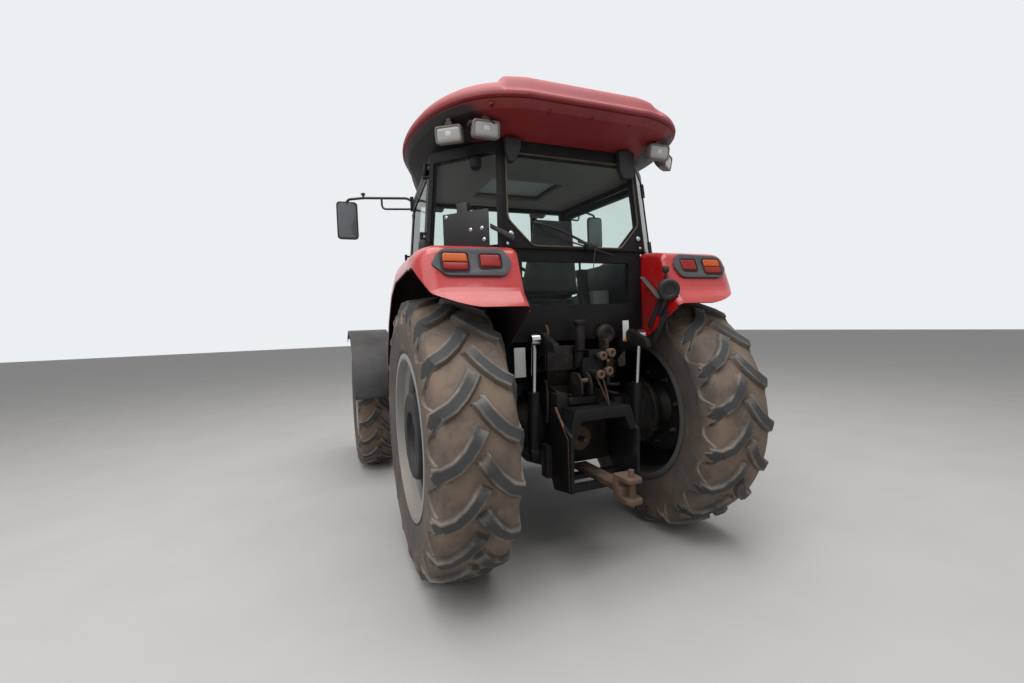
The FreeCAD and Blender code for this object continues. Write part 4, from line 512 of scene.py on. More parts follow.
def lug_mesh(name, section, size, turn_scale, side):
    """One lug of the left or right row, round the Y axis, its arrow end at the wheel's back."""
    width = LUG_WIDTH * size
    path = [(y * size, angle * turn_scale) for y, angle in LUG_LEADING_EDGE]
    stations = []
    for y, angle in path:
        radius, height, normal = along_section(section, y)
        stations.append((y, radius, height, normal, math.radians(angle)))
    last_angle = stations[-1][4]
    tail = [row for row in section if row[2] > 0.0 and row[0] > path[-1][0] * 0.98]
    for index, (y, radius, height) in enumerate(tail):
        normal = along_section(section, y - 1e-4)[2]
        angle = last_angle + math.radians(TAIL_START + index * TAIL_STEP)
        stations.append((y, radius, height, normal, angle))
    rings = []
    for index, (y, radius, height, normal, angle) in enumerate(stations):
        before, after = stations[max(index - 1, 0)], stations[min(index + 1, len(stations) - 1)]
        run = Vector((after[0] - before[0], (after[4] - before[4]) * radius))
        if index >= len(path):
            run = TAIL_RUN.copy()
        run.normalize()
        sideways = Vector((-run.y, run.x))
        flare = 1.0 + max(0, index - len(path) + 2) * TAIL_FLARE
        across = list(LUG_SKIRT)
        across += [(width * flare - offset, share) for offset, share in reversed(LUG_SKIRT)]
        ring = []
        for offset, share in across:
            spot_y = y + sideways.x * offset
            spot_angle = angle + sideways.y * offset / radius
            base = along_section(section, max(spot_y, 0.0))[0] if index < len(path) else radius
            lift = height * share
            ring.append((spot_y + normal[0] * lift, base + normal[1] * lift, spot_angle))
        rings.append(ring)
    nose = []
    lead_turn = math.radians(path[1][1] - path[0][1]) * stations[0][1]
    lead = Vector((path[1][0] - path[0][0], lead_turn)).normalized()
    for offset, share in LUG_SKIRT[:NOSE_ROWS]:
        ring = []
        for (y, radius, angle), (_, own_share) in zip(rings[0], across):
            reach = offset - LUG_SKIRT[-2][0]
            level = stations[0][1] + stations[0][2] * min(share, own_share)
            ring.append((y + lead.x * reach, level, angle + lead.y * reach / radius))
        nose.append(ring)
    rings = nose + rings
    placed = []
    for ring in rings:
        placed.append([(
            -radius * math.cos(angle), side * y, -radius * math.sin(angle)) for y, radius, angle in ring])
    mesh = cleaned(mesh_of(name, *swept(placed)))
    count = len(across)
    dust, edge = [], []
    for row, ring in enumerate(rings):
        for step in range(count):
            top = min(step, count - 1 - step) >= LUG_TOP
            dust.append(0.10 if top and row >= NOSE_ROWS else 0.55)
            # the edge value marks the lug's pale crests: partly wear, partly painted highlight
            leading, trailing = step in (LUG_TOP - 1, LUG_TOP), count - 1 - step in (LUG_TOP - 1, LUG_TOP)
            edge.append(1.0 if leading else 0.7 if trailing or row == NOSE_ROWS else 0.0)
    painted(mesh, "dust", dust)
    painted(mesh, "edge", edge)
    return mesh


# %% [markdown]
# The carcass is turned like a vase, but its shoulder is not round: between two lugs it is
# scooped out down to a curved edge, the pocket. So each column of points, twenty for each
# lug, asks how far it is from the last lug and sets its pocket's edge from that.

# %% The carcass
CROWN_RADIUS = REAR_SECTION[0][1]
SHOULDER_RADIUS, WALL_RADIUS = 0.79, 0.655      # the rows between them are made anew in each column
SCOOP_RADIUS, WALL_TOP_RADIUS = 0.788, 0.656
POCKET_LOW, POCKET_RISE, POCKET_POWER = 0.697, 0.078, 2.6
POCKET_START, POCKET_SPAN = 0.06, 0.60          # shares of the pitch, behind the end of a lug
LIP_RADIUS, LIP_DEPTH, LIP_OUT = 0.650, 0.045, 0.013       # below the pocket the wall stands out
LIP_HEIGHT = 0.006
COLUMNS_PER_LUG = 20
WALL_ROW = 9                # the section's row where the dusty wall starts


def carcass_mesh(name, section, count, lug_end_angle, inner):
    """The tyre's body round the Y axis. Between two lugs the hollow ends in a scooped pocket."""
    grow = section[0][1] / CROWN_RADIUS
    columns = count * COLUMNS_PER_LUG
    pitch = 2 * math.pi / count
    above = [row for row in section if row[1] >= SHOULDER_RADIUS * grow]
    below = [row for row in section if row[1] <= WALL_RADIUS * grow]

    def wall(radius, raised, extra=0.0, mark=0.0):
        """Width, radius and pale edge mark (wear and painted highlight) of a point on the section at this
        radius.
        """
        for (y0, r0, _), (y1, r1, _) in zip(section, section[1:]):
            if r1 <= radius <= r0:
                y = y0 + (y1 - y0) * (r0 - radius) / max(r0 - r1, 1e-9)
                break
        lift = clamped((radius / grow - LIP_RADIUS) / LIP_DEPTH)
        return y + (LIP_OUT * grow * eased(lift) if raised else 0.0) + extra, radius, mark

    rings, edges = [], []
    for column in range(columns):
        angle = 2 * math.pi * column / columns
        ring, marks = [], []
        for side in (-1, 1):
            shift = lug_end_angle if side > 0 else lug_end_angle - math.pi / count
            share = ((angle - shift) % pitch) / pitch
            across = clamped((share - POCKET_START) / POCKET_SPAN)
            pocket = (POCKET_LOW + POCKET_RISE * abs(2 * across - 1) ** POCKET_POWER) * grow
            under_lip = pocket - LIP_HEIGHT
            rows = [(y, radius, 0.0) for y, radius, _ in above]
            rows += [wall(pocket + (SCOOP_RADIUS * grow - pocket) * step / 4, False)
                     for step in (4, 3, 2, 1)]
            rows += [wall(pocket + 0.004, False, mark=0.25), wall(pocket, True, mark=1.0),
                     wall(under_lip, True, extra=0.0012, mark=0.15)]
            rows += [wall(WALL_TOP_RADIUS * grow + (under_lip - WALL_TOP_RADIUS * grow) * step / 4, True)
                     for step in (3, 2, 1, 0)]
            rows += [(y, radius, 0.0) for y, radius, _ in below + inner]
            rows = rows if side > 0 else rows[::-1]
            ring += [(-radius * math.cos(angle), side * y, -radius * math.sin(angle))
                     for y, radius, _ in rows]
            marks += [mark for _, _, mark in rows]
        rings.append(ring)
        edges += marks
    mesh = mesh_of(name, *swept(rings, close_ends=False, loop=True))
    painted(mesh, "edge", edges)
    cleaned(mesh, merge=1e-6)
    crown, sidewall = section[0][1], section[WALL_ROW][1]
    heights = [(math.hypot(vertex.co.x, vertex.co.z) - sidewall) / (crown - sidewall)
               for vertex in mesh.vertices]
    painted(mesh, "dust", [0.58 + 0.42 * clamped(height) for height in heights])
    return mesh


# %% [markdown]
# Lugs, bolts and grille bars are each one small mesh that repeats. A Geometry Nodes tree lays
# out points and puts a copy on each, and the two trees differ only in how the copies are
# spread: turned round the Y axis, or each one step further on. Both end in Realize Instances
# and Set Material, so the result is a plain mesh with its finish.

# %% Copies, by Geometry Nodes
def copying_tree(name, spread, extra_nodes, extra_wires):
    """spread is the name and kind of the input that says how the copies are spread."""
    tree = bpy.data.node_groups.new(name, "GeometryNodeTree")
    sockets = [tree.interface.new_socket(label, in_out="INPUT", socket_type="NodeSocket" + kind)
               for label, kind in (
                   ("Geometry", "Geometry"), ("Count", "Int"), spread, ("Finish", "Material"))]
    tree.interface.new_socket("Geometry", in_out="OUTPUT", socket_type="NodeSocketGeometry")
    made = {key: tree.nodes.new(kind) for key, kind in (
        ("enter", "NodeGroupInput"), ("leave", "NodeGroupOutput"), ("points", "GeometryNodeMeshLine"),
        ("copies", "GeometryNodeInstanceOnPoints"), ("real", "GeometryNodeRealizeInstances"),
        ("dress", "GeometryNodeSetMaterial"), *extra_nodes)}
    for source, output, target, entry in (
            ("enter", "Count", "points", "Count"), ("points", 0, "copies", "Points"),
            ("enter", "Geometry", "copies", "Instance"), ("copies", 0, "real", 0), ("real", 0, "dress", 0),
            ("enter", "Finish", "dress", "Material"), ("dress", 0, "leave", 0), *extra_wires):
        tree.links.new(made[source].outputs[output], made[target].inputs[entry])
    return tree, [socket.identifier for socket in sockets[1:]], made


def copied(mesh, tree, identifiers, values):
    """The mesh copied by the tree, as one plain mesh. values are set by their identifiers."""
    holder = holder_of(mesh.name, mesh)
    copier = holder.modifiers.new("copies", "NODES")
    copier.node_group = tree
    for identifier, value in zip(identifiers, values):
        copier[identifier] = value
    return plain(holder)


RING_TREE, RING_INPUTS, ring_nodes = copying_tree(
    "ring_of_copies", ("Start", "Float"),
    (("index", "GeometryNodeInputIndex"), ("turn", "ShaderNodeMath"), ("share", "ShaderNodeMath"),
     ("sum", "ShaderNodeMath"), ("angles", "ShaderNodeCombineXYZ")),
    (("index", 0, "turn", 0), ("turn", 0, "share", 0), ("enter", "Count", "share", 1),
     ("share", 0, "sum", 0), ("enter", "Start", "sum", 1), ("sum", 0, "angles", 1),
     ("angles", 0, "copies", "Rotation")))
ring_nodes["turn"].operation, ring_nodes["share"].operation = "MULTIPLY", "DIVIDE"
ring_nodes["turn"].inputs[1].default_value = 2 * math.pi
ring_nodes["points"].inputs["Offset"].default_value = (0, 0, 0)
ROW_TREE, ROW_INPUTS, _ = copying_tree(
    "row_of_copies", ("Step", "Vector"), (), (("enter", "Step", "points", "Offset"),))


def ring_of(mesh, count, start, finish):
    """count copies round the Y axis, from the start angle."""
    return copied(mesh, RING_TREE, RING_INPUTS, (count, start, finishes[finish]))


def row_of(name, skin, count, step, finish):
    """count copies, each one step further on."""
    return copied(mesh_of(name, *skin), ROW_TREE, ROW_INPUTS, (count, step, finishes[finish]))


print("trees", RING_TREE.name, ROW_TREE.name)

# %% [markdown]
# A tyre is its carcass and two rings of lugs, joined. The front tyres are the rear one's
# section at a smaller size. They have one lug less, and each lug sweeps a little further back.

# %% Four tyres
def joined(name, meshes, centre=(0, 0, 0)):
    """Several meshes as one, moved to centre, with their attributes kept."""
    parts = [holder_of(name + "_part", mesh) for mesh in meshes]
    with bpy.context.temp_override(active_object=parts[0], selected_editable_objects=parts):
        bpy.ops.object.join()
    mesh = parts[0].data
    bpy.data.objects.remove(parts[0])
    mesh.transform(Matrix.Translation(centre))
    return mesh


def make_tyre(node, body, centre, section, size, turn_scale, count, phase, inner):
    """phase turns the whole tread, in degrees. The two rows of lugs stand half a pitch apart."""
    start = math.radians(phase)
    rows = []
    for side, shift in ((1, 0.0), (-1, math.pi / count)):
        lug = lug_mesh(f"lug_{node}_{side}", section, size, turn_scale, side)
        rows.append(ring_of(lug, count, start + shift, "tyre"))
    end = math.radians(LUG_LEADING_EDGE[-1][1] * turn_scale + TAIL_TURN)
    carcass = carcass_mesh(f"carcass_{node}", section, count, end - start, inner)
    mesh = joined(node, [carcass] + rows, centre)
    piece = place(node + "_dressed", mesh, "tyre", body, (node,), crease=48.0)
    print(piece.name, len(mesh.polygons), "faces")


REAR_INNER = [(0.2095, 0.5190, 0.0), (0.2095, 0.4830, 0.0), (0.170, 0.4830, 0.0), (0.150, 0.5200, 0.0),
              (0.190, 0.6200, 0.0), (0.180, 0.7300, 0.0), (0.0, 0.7700, 0.0)]
FRONT_INNER = [(0.1585, 0.3900, 0.0), (0.1585, 0.3560, 0.0), (0.130, 0.3560, 0.0), (0.115, 0.3900, 0.0),
               (0.150, 0.4700, 0.0), (0.145, 0.5600, 0.0), (0.0, 0.6000, 0.0)]
REAR_BEAD, REAR_DEPTH = 0.521, 0.298            # the bead's radius, and from there to the crown
FRONT_BEAD, FRONT_CROWN = 0.3915, 0.639
FRONT_SIZE, FRONT_LUG_SHARE = 0.189 / 0.2335, 0.82
FRONT_SECTION = tuple(
    (y * FRONT_SIZE, FRONT_BEAD + (r - REAR_BEAD) * (FRONT_CROWN - FRONT_BEAD) / REAR_DEPTH,
     h * FRONT_LUG_SHARE) for y, r, h in REAR_SECTION)
REAR_LUGS, FRONT_LUGS = 19, 18
FRONT_TURN, FRONT_PHASE = 1.03, 5.0
for side, name, rear_phase in ((1, "left", 13.5), (-1, "right", 3.0)):
    make_tyre(f"rear_tyre_{name}", f"rear_wheel_{name}", (AXLE_X, side * REAR_HALF_TRACK, REAR_RADIUS),
              REAR_SECTION, 1.0, 1.0, REAR_LUGS, rear_phase, REAR_INNER)
    make_tyre(f"front_tyre_{name}", f"front_wheel_{name}",
              (AXLE_X + WHEELBASE, side * FRONT_HALF_TRACK, FRONT_RADIUS),
              FRONT_SECTION, FRONT_SIZE, FRONT_TURN, FRONT_LUGS, FRONT_PHASE, FRONT_INNER)

# %% [markdown]
# Castings, bent plates and mouldings have no knife edges: a thin bright line of light runs
# along every rounded corner, and without it steel looks like card. The CAD nodes keep their
# shapes here, and each gets a copy with rounded edges in its place. The CAD mesh is loose
# triangles, so the copy is merged first, then its flat faces are dissolved into whole
# polygons, and a Bevel modifier rounds what is sharper than thirty degrees.

# %% Rounded edges on the CAD nodes
BODY_OF = {name: body for body, group in frame["record"]["behaviour"]["bodies"].items() for name in group}
EDGE_ROUND_MM = {
    "rear_axle": 5, "transmission": 5, "engine": 6, "front_bolster": 5, "front_axle": 4,
    "steering_cylinder": 2, "radiator": 4, "side_tanks": 8, "exhaust": 3, "steps": 2, "hood_stand": 3,
    "cab_frame": 4, "cab_cowl": 5, "cab_floor": 3, "seat_base": 8, "dash": 6, "headliner": 6,
    "rear_fender_left": 2.5, "rear_fender_right": 2.5, "control_box": 2.5,
    "drawbar_frame": 2.5, "drawbar": 3, "lift_housing": 4, "lift_rams": 2,
    "top_link_bracket": 2, "remote_valves": 2, "hood": 2.5, "grille": 1.5, "headlamps": 1.5,
    "door_left": 4, "door_right": 4, "knuckle_left": 3, "knuckle_right": 3,
    "front_fender_left": 2, "front_fender_right": 2, "front_rim_left": 2, "front_rim_right": 2,
    "rear_rim_left": 2, "rear_rim_right": 2, "rear_weight_left": 3, "rear_weight_right": 3,
    "lift_arms": 4, "power_shaft": 1.5}


def softened(node, width_mm):
    mesh = nodes[node].data.copy()
    shape = bmesh.new()
    shape.from_mesh(mesh)
    bmesh.ops.remove_doubles(shape, verts=shape.verts, dist=2e-5)
    bmesh.ops.dissolve_limit(shape, angle_limit=math.radians(0.6), verts=shape.verts, edges=shape.edges)
    shape.to_mesh(mesh)
    shape.free()
    holder = holder_of(node + "_work", mesh)
    round_edges(holder, width_mm / 1000.0, 30)
    return place(node + "_soft", plain(holder), node_slot[node], BODY_OF[node], (node,))


softened_pieces = {node: softened(node, width) for node, width in EDGE_ROUND_MM.items()}
RIM_FACE_Y, RIM_INNER_Y, BARREL_RADIUS = 0.952, 0.80, 0.462
for node in ("rear_rim_left", "rear_rim_right"):        # painted shade: the barrel and the tractor's side of each rim go near black
    shade_paint = []
    for vertex in softened_pieces[node].data.vertices:
        radius, out = math.hypot(vertex.co.x - AXLE_X, vertex.co.z - REAR_RADIUS), abs(vertex.co.y)
        in_barrel = out < RIM_FACE_Y and radius < BARREL_RADIUS
        shade_paint.append(0.97 if in_barrel else 0.72 if out < RIM_INNER_Y else 0.0)
    painted(softened_pieces[node].data, "under", shade_paint)
print("softened", len(softened_pieces), "nodes,",
      sum(len(piece.data.polygons) for piece in softened_pieces.values()), "faces")

# %% [markdown]
# The detail pieces share a few ways of making. A place is given in the CAD's own
# millimetres from the middle of the rear axle. A plate is a prism with rounded edges, a
# bolt or knob is turned from a short profile, and a pipe is a ring carried along a bent
# line whose corners are rounded. Each returns points and faces, and one call joins all the
# skins of one finish into one piece.

# %% Plates, turned parts and pipes
def mm(x, y, z):
    return Vector((x / 1000 + AXLE_X, y / 1000, z / 1000))


def prism(corners, push):
    """A plate from its corners, thickened by the vector push."""
    corners = [Vector(corner) for corner in corners]
    return swept([corners, [corner + Vector(push) for corner in corners]])


def block(x0, x1, y0, y1, z0, z1):
    foot = [mm(x, y, z0) for x, y in ((x0, y0), (x1, y0), (x1, y1), (x0, y1))]
    return prism(foot, (0, 0, (z1 - z0) / 1000))


def across_axis(axis):
    axis = Vector(axis).normalized()
    side = axis.cross(Vector((0, 0, 1)) if abs(axis.z) < 0.9 else Vector((1, 0, 0))).normalized()
    return axis, side, axis.cross(side)


def circle(middle, side, other, radius_mm, sides):
    """Points round middle, in the plane of the directions side and other."""
    return [middle + (side * math.cos(turn) + other * math.sin(turn)) * radius_mm / 1000
            for turn in (2 * math.pi * step / sides for step in range(sides))]


def corner_curve(start, corner, end, share):
    """A point on the curve that rounds a corner."""
    return start * (1 - share) ** 2 + corner * 2 * share * (1 - share) + end * share ** 2


def turned(centre, axis, profile, sides=28):
    """profile is rows of distance along the axis and radius, both in millimetres."""
    axis, side, other = across_axis(axis)
    return swept([circle(Vector(centre) + axis * along / 1000, side, other, max(radius, 0.05), sides)
                  for along, radius in profile])


def bent(points, radius_mm, bend_mm=0.0, sides=14):
    """A pipe along points, with each corner rounded over bend_mm each way."""
    points = [Vector(point) for point in points]
    line = [points[0]]
    for before, corner, after in zip(points, points[1:], points[2:]):
        reach = min(bend_mm / 1000, (corner - before).length * 0.45, (after - corner).length * 0.45)
        start = corner + (before - corner).normalized() * reach
        end = corner + (after - corner).normalized() * reach
        line += [corner_curve(start, corner, end, step / 6) for step in range(7)]
    line.append(points[-1])
    line = [point for index, point in enumerate(line)
            if index == 0 or (point - line[index - 1]).length > 1e-5]
    side = across_axis(line[1] - line[0])[1]
    rings = []
    for index, point in enumerate(line):
        along = (line[min(index + 1, len(line) - 1)] - line[max(index - 1, 0)]).normalized()
        side = (side - along * side.dot(along)).normalized()
        rings.append(circle(point, side, along.cross(side), radius_mm, sides))
    return swept(rings)


def piece_of(name, skins, finish, body="chassis", round_mm=0.0, replaces=(), crease=35.0):
    """Skins joined into one piece, with the edges rounded where round_mm is given."""
    points, faces = [], []
    for skin_points, skin_faces in skins:
        faces += [tuple(index + len(points) for index in face) for face in skin_faces]
        points += skin_points
    if not round_mm:
        return build(name, points, faces, finish, body, replaces, crease)
    rough = build(name + "_rough", points, faces, finish, body)
    round_edges(rough, round_mm / 1000, 32)
    return place(name, plain(rough), finish, body, replaces, crease)


def mirrored(skin):
    points, faces = skin
    return [Vector((x, -y, z)) for x, y, z in points], [tuple(face[::-1]) for face in faces]


def both_sides(skins):
    return list(skins) + [mirrored(skin) for skin in skins]


print("plates, turned parts and pipes ready")

# %% [markdown]
# The roof is one moulding over the cab's frame: a skirt that slopes in under the rim, a
# band, a fine dark seam, the dome, and a raised panel along the middle. It could be
# modelled by hand with a subdivision surface, but it follows a rule. Every level is the
# same plan outline at another size, so the mesh is a stack of rings. The raised panel is a
# second stack, and each point slides between the two by how far it is from the middle.

# %% Roof levels
ROOF_PLAN = (           # left edge from the back, millimetres: start, a point on the arc, end
    ((-522, 0), None, (-522, 405)), ((-522, 405), (-500, 512), (-460, 618)),
    ((-460, 618), (-418, 680), (-365, 740)), ((-365, 740), (-210, 843), (0, 912)),
    ((0, 912), (390, 945), (760, 876)), ((760, 876), None, (1000, 790)),
    ((1000, 790), (1250, 722), (1440, 664)), ((1440, 664), (1492, 630), (1512, 560)),
    ((1512, 560), (1566, 280), (1583, 0)))
ROOF_LEVELS = (         # height and size off the panel, then height and size on the panel
    (2627, 0.330, 2627, 0.330), (2627, 0.745, 2627, 0.745), (2660, 0.800, 2660, 0.800),
    (2706, 0.948, 2706, 0.948), (2710, 0.956, 2710, 0.956), (2742, 0.978, 2742, 0.978),
    (2748, 0.984, 2748, 0.984), (2750, 0.9775, 2750, 0.9775), (2753, 0.9775, 2753, 0.9775),
    (2755, 0.992, 2755, 0.992), (2762, 0.999, 2762, 0.999), (2772, 1.000, 2772, 1.000),
    (2784, 0.9985, 2784, 0.997), (2800, 0.992, 2797, 0.972), (2812, 0.985, 2806, 0.960),
    (2828, 0.972, 2826, 0.952), (2842, 0.958, 2848, 0.944), (2856, 0.940, 2872, 0.934),
    (2868, 0.918, 2890, 0.924), (2877, 0.896, 2904, 0.912), (2885, 0.868, 2914, 0.894),
    (2889, 0.840, 2919, 0.862), (2890, 0.780, 2920, 0.800), (2890, 0.600, 2920, 0.620))
PANEL_EDGE = (0.548, 0.500)     # where the raised panel starts and is full, metres off the middle
ROOF_MIDDLE, ROOF_TOP, ROOF_FOOT = 500, 2920, 2627
HATCH = (400, 900, 300)         # back, front, half the width


def arc_points(start, middle, end, count=14):
    """Points along the arc through three points, or along the line where middle is None."""
    if middle is None:
        return [tuple(a + (b - a) * step / count for a, b in zip(start, end)) for step in range(count)]
    (ax, ay), (bx, by), (cx, cy) = start, middle, end
    spin = 2 * (ax * (by - cy) + bx * (cy - ay) + cx * (ay - by))
    ux = ((ax**2 + ay**2) * (by - cy) + (bx**2 + by**2) * (cy - ay) + (cx**2 + cy**2) * (ay - by)) / spin
    uy = ((ax**2 + ay**2) * (cx - bx) + (bx**2 + by**2) * (ax - cx) + (cx**2 + cy**2) * (bx - ax)) / spin
    first, last = math.atan2(ay - uy, ax - ux), math.atan2(cy - uy, cx - ux)
    swing = (last - first + math.pi) % (2 * math.pi) - math.pi
    radius = math.hypot(ax - ux, ay - uy)
    return [(ux + radius * math.cos(first + swing * step / count),
             uy + radius * math.sin(first + swing * step / count)) for step in range(count)]


def make_roof():
    half = [point for row in ROOF_PLAN for point in arc_points(*row)] + [ROOF_PLAN[-1][2]]
    plan = half + [(x, -y) for x, y in reversed(half[1:-1])]
    back, front, half_width = HATCH
    rings = []
    for low_z, low_size, high_z, high_size in ROOF_LEVELS:
        ring = []
        for x, y in plan:
            inside = (PANEL_EDGE[0] - abs(y * high_size) / 1000) / (PANEL_EDGE[0] - PANEL_EDGE[1])
            on_panel = eased(clamped(inside))
            size = low_size + (high_size - low_size) * on_panel
            height = low_z + (high_z - low_z) * on_panel
            ring.append(mm(ROOF_MIDDLE + (x - ROOF_MIDDLE) * size, y * size, height))
        rings.append(ring)
    for z, wider in ((ROOF_TOP, 1.02), (ROOF_TOP - 5, 1.0), (ROOF_FOOT, 1.0)):
        ring = []
        for x, y in plan:
            reach = max(abs(x - ROOF_MIDDLE) / ((front - back) / 2), abs(y) / half_width)
            ring.append(mm((back + front) / 2 + (x - ROOF_MIDDLE) / reach * wider, y / reach * wider, z))
        rings.append(ring)
    rings[0] = rings[-1]
    points, faces = swept(rings[1:], loop=True)
    return build("roof_shell", points, faces, "roof_red", "chassis", ("cab_roof",), crease=40)


roof = make_roof()
RECESS_X, RECESS_Y, RECESS_FADE, RECESS_TOP = -400, 540, 60, 2745
recess = []         # painted shade: the underside beside the work lamps goes near black
for vertex in roof.data.vertices:
    x, y, z = (vertex.co.x - AXLE_X) * 1000, abs(vertex.co.y) * 1000, vertex.co.z * 1000
    beside = clamped((x - RECESS_X) / RECESS_FADE) * clamped((y - RECESS_Y) / RECESS_FADE)
    recess.append(beside if z < RECESS_TOP else 0.0)
painted(roof.data, "under", recess)
print("roof", len(roof.data.polygons), "faces")

# %% [markdown]
# Behind the lamps the fender does not slope evenly. Its top runs back nearly level, then
# folds over a soft corner into a steep face for the lamps, and the lip below flares out
# again. A fold like this can be made on a copy of the sheet: cut it across where it bends,
# then push every point out by how far along the slope it lies, so the sheet keeps its
# thickness.

# %% The rear fenders' steep lamp face
SLOPE_FOOT = mm(-600, 0, 1726)
SLOPE_RUN, SLOPE_OUT = Vector((0.7430, 0, 0.6693)), Vector((-0.6693, 0, 0.7430))
FOLD = ((-0.1212, 0.0), (0.0, -0.0405), (0.2175, 0.0772), (0.3567, 0.0))     # along the slope, pushed out
FOLD_ROUND = (0.0, 0.016, 0.030, 0.0)
FOLD_CUTS = (-0.06, -0.016, -0.006, 0.006, 0.016, 0.08, 0.15, 0.1875, 0.2025, 0.2175, 0.2325, 0.2475, 0.3)
FOLD_DEPTH, FOLD_FADE = 0.38, 0.18      # the push fades to nothing this deep under the slope
INNER_WALL = (0.487, 0.51)              # where the inner wall stands, metres off the middle


def pushed(along):
    """How far the sheet is pushed out here: straight runs with a rounded turn at each fold."""
    if along <= FOLD[0][0] or along >= FOLD[-1][0]:
        return 0.0
    for (s0, d0), (s1, d1) in zip(FOLD, FOLD[1:]):
        if along <= s1:
            push = d0 + (d1 - d0) * (along - s0) / (s1 - s0)
            break
    for index in (1, 2):
        (s0, d0), (s1, d1), (s2, d2) = FOLD[index - 1:index + 2]
        reach = FOLD_ROUND[index]
        if abs(along - s1) < reach:
            turn = (d2 - d1) / (s2 - s1) - (d1 - d0) / (s1 - s0)
            push += turn * (reach - abs(along - s1)) ** 2 / (4 * reach)
    return push


def folded_fender(name):
    piece = softened_pieces[name]
    shape = bmesh.new()
    shape.from_mesh(piece.data)
    for along in FOLD_CUTS:
        everything = shape.verts[:] + shape.edges[:] + shape.faces[:]
        bmesh.ops.bisect_plane(shape, geom=everything, dist=1e-5,
                               plane_co=SLOPE_FOOT + SLOPE_RUN * along, plane_no=SLOPE_RUN)
    for vertex in shape.verts:
        from_foot = vertex.co - SLOPE_FOOT
        share = clamped((FOLD_DEPTH + from_foot.dot(SLOPE_OUT)) / FOLD_FADE)
        vertex.co += SLOPE_OUT * pushed(from_foot.dot(SLOPE_RUN)) * share
    bmesh.ops.recalc_face_normals(shape, faces=shape.faces)
    shape.to_mesh(piece.data)
    shape.free()
    # Painted shade, with some mud: the inner wall and the faces that turn to the wheel go near black.
    shade_paint = [0.0] * len(piece.data.vertices)
    for face in piece.data.polygons:
        middle, across = face.center, abs(face.center.y)
        inward = Vector((AXLE_X - middle.x, 0, REAR_RADIUS - middle.z)).normalized()
        on_wall = across < INNER_WALL[1] and face.normal.y * middle.y > 0.02
        if across >= INNER_WALL[0] and (on_wall or face.normal.dot(inward) > 0.3):
            for index in face.vertices:
                shade_paint[index] = 1.0
    painted(piece.data, "under", shade_paint)
    piece.data.shade_smooth()
    piece.data.set_sharp_from_angle(angle=math.radians(38))
    return len(piece.data.polygons)


print("fender faces", [folded_fender(f"rear_fender_{side}") for side in ("left", "right")])

# %% [markdown]
# The tail lamps sit in a grey moulding that is pointed towards the outside. Each well in it is lined black,
# partly the well's own colour and partly painted shade, so the lens stands out of a dark rim. The outer lamp
# is a turn signal over a brake lamp: one amber lens and one red lens with a fine gap between them.

# %% Lamp mouldings and lenses
FACE_FOOT = mm(-575, 0, 1694)
FACE_RUN, FACE_OUT = Vector((0.3401, 0, 0.9404)), Vector((-0.9404, 0, 0.3401))
EDGE_START, EDGE_RADIUS = 922, 150      # where the fender turns down at its outer edge, millimetres


def on_face(across, up, out):
    """A place on the left fender's lamp face, following its rounded outer edge, in millimetres."""
    beyond = min(max(across - EDGE_START, 0.0), EDGE_RADIUS - 1)
    drop = EDGE_RADIUS - math.sqrt(EDGE_RADIUS ** 2 - beyond ** 2)
    return FACE_FOOT + Vector((0, across / 1000, 0)) + FACE_RUN * up / 1000 + FACE_OUT * (out - drop) / 1000


def rounded(corners, radius, count=6):
    """An outline with its corners rounded. radius is one number or one for each corner."""
    radii = radius if isinstance(radius, (list, tuple)) else [radius] * len(corners)
    line = []
    for index, corner in enumerate(corners):
        corner, reach = Vector(corner), radii[index]
        ends = []
        for other in (corners[index - 1], corners[(index + 1) % len(corners)]):
            side = Vector(other) - corner
            ends.append(corner + side.normalized() * min(reach, side.length * 0.48))
        line += [corner_curve(ends[0], corner, ends[1], step / (count - 1)) for step in range(count)]
    return line


def rounded_box(across, up, width, height, radius):
    x, y = width / 2, height / 2
    corners = [(across - x, up - y), (across + x, up - y), (across + x, up + y), (across - x, up + y)]
    return rounded(corners, radius)


def levels(rows, spot=on_face):
    """A skin from rows of (outline, height), closed at both ends. spot turns them into places."""
    return swept([[spot(across, up, out) for across, up in outline] for outline, out in rows])


def shrink(outline, margin):
    """The outline made smaller by about margin on every side."""
    middle = sum(outline, Vector((0, 0))) / len(outline)
    reach = max(point.x for point in outline) - middle.x, max(point.y for point in outline) - middle.y
    return [Vector((middle.x + (point.x - middle.x) * (1 - margin / reach[0]),
                    middle.y + (point.y - middle.y) * (1 - margin / reach[1]))) for point in outline]


WELLS = ((864, 156, 152, 116, 22), (672, 164, 132, 92, 18))     # across, up, width, height, radius
LENSES = (              # across, up, width, height, corner radii from the low inside, finish
    (864, 130, 132, 44, (18, 18, 3, 3), "lamp_lens"), (864, 181, 132, 50, (3, 3, 18, 18), "lamp_amber"),
    (671, 165, 112, 72, (9, 9, 9, 9), "lamp_lens"))


def lamp_moulding():
    edge = rounded([(592, 79), (918, 79), (990, 150), (936, 232), (592, 240), (548, 158)],
                   (34, 26, 20, 40, 34, 26), 8)
    plate = piece_of("moulding_blank", [levels([(edge, -9), (edge, 14)])], "lamp_grey")
    wells = [levels([(rounded_box(*well), 3), (rounded_box(*well), 30)]) for well in WELLS]
    cutter = piece_of("well_blank", wells, "lamp_grey")
    hollow = plate.modifiers.new("wells", "BOOLEAN")
    hollow.operation, hollow.object, hollow.solver = "DIFFERENCE", cutter, "EXACT"
    round_edges(plate, 0.0035, 40, segments=3)
    mesh = plain(plate)
    bpy.data.objects.remove(cutter)
    return [vertex.co.copy() for vertex in mesh.vertices], [tuple(face.vertices) for face in mesh.polygons]


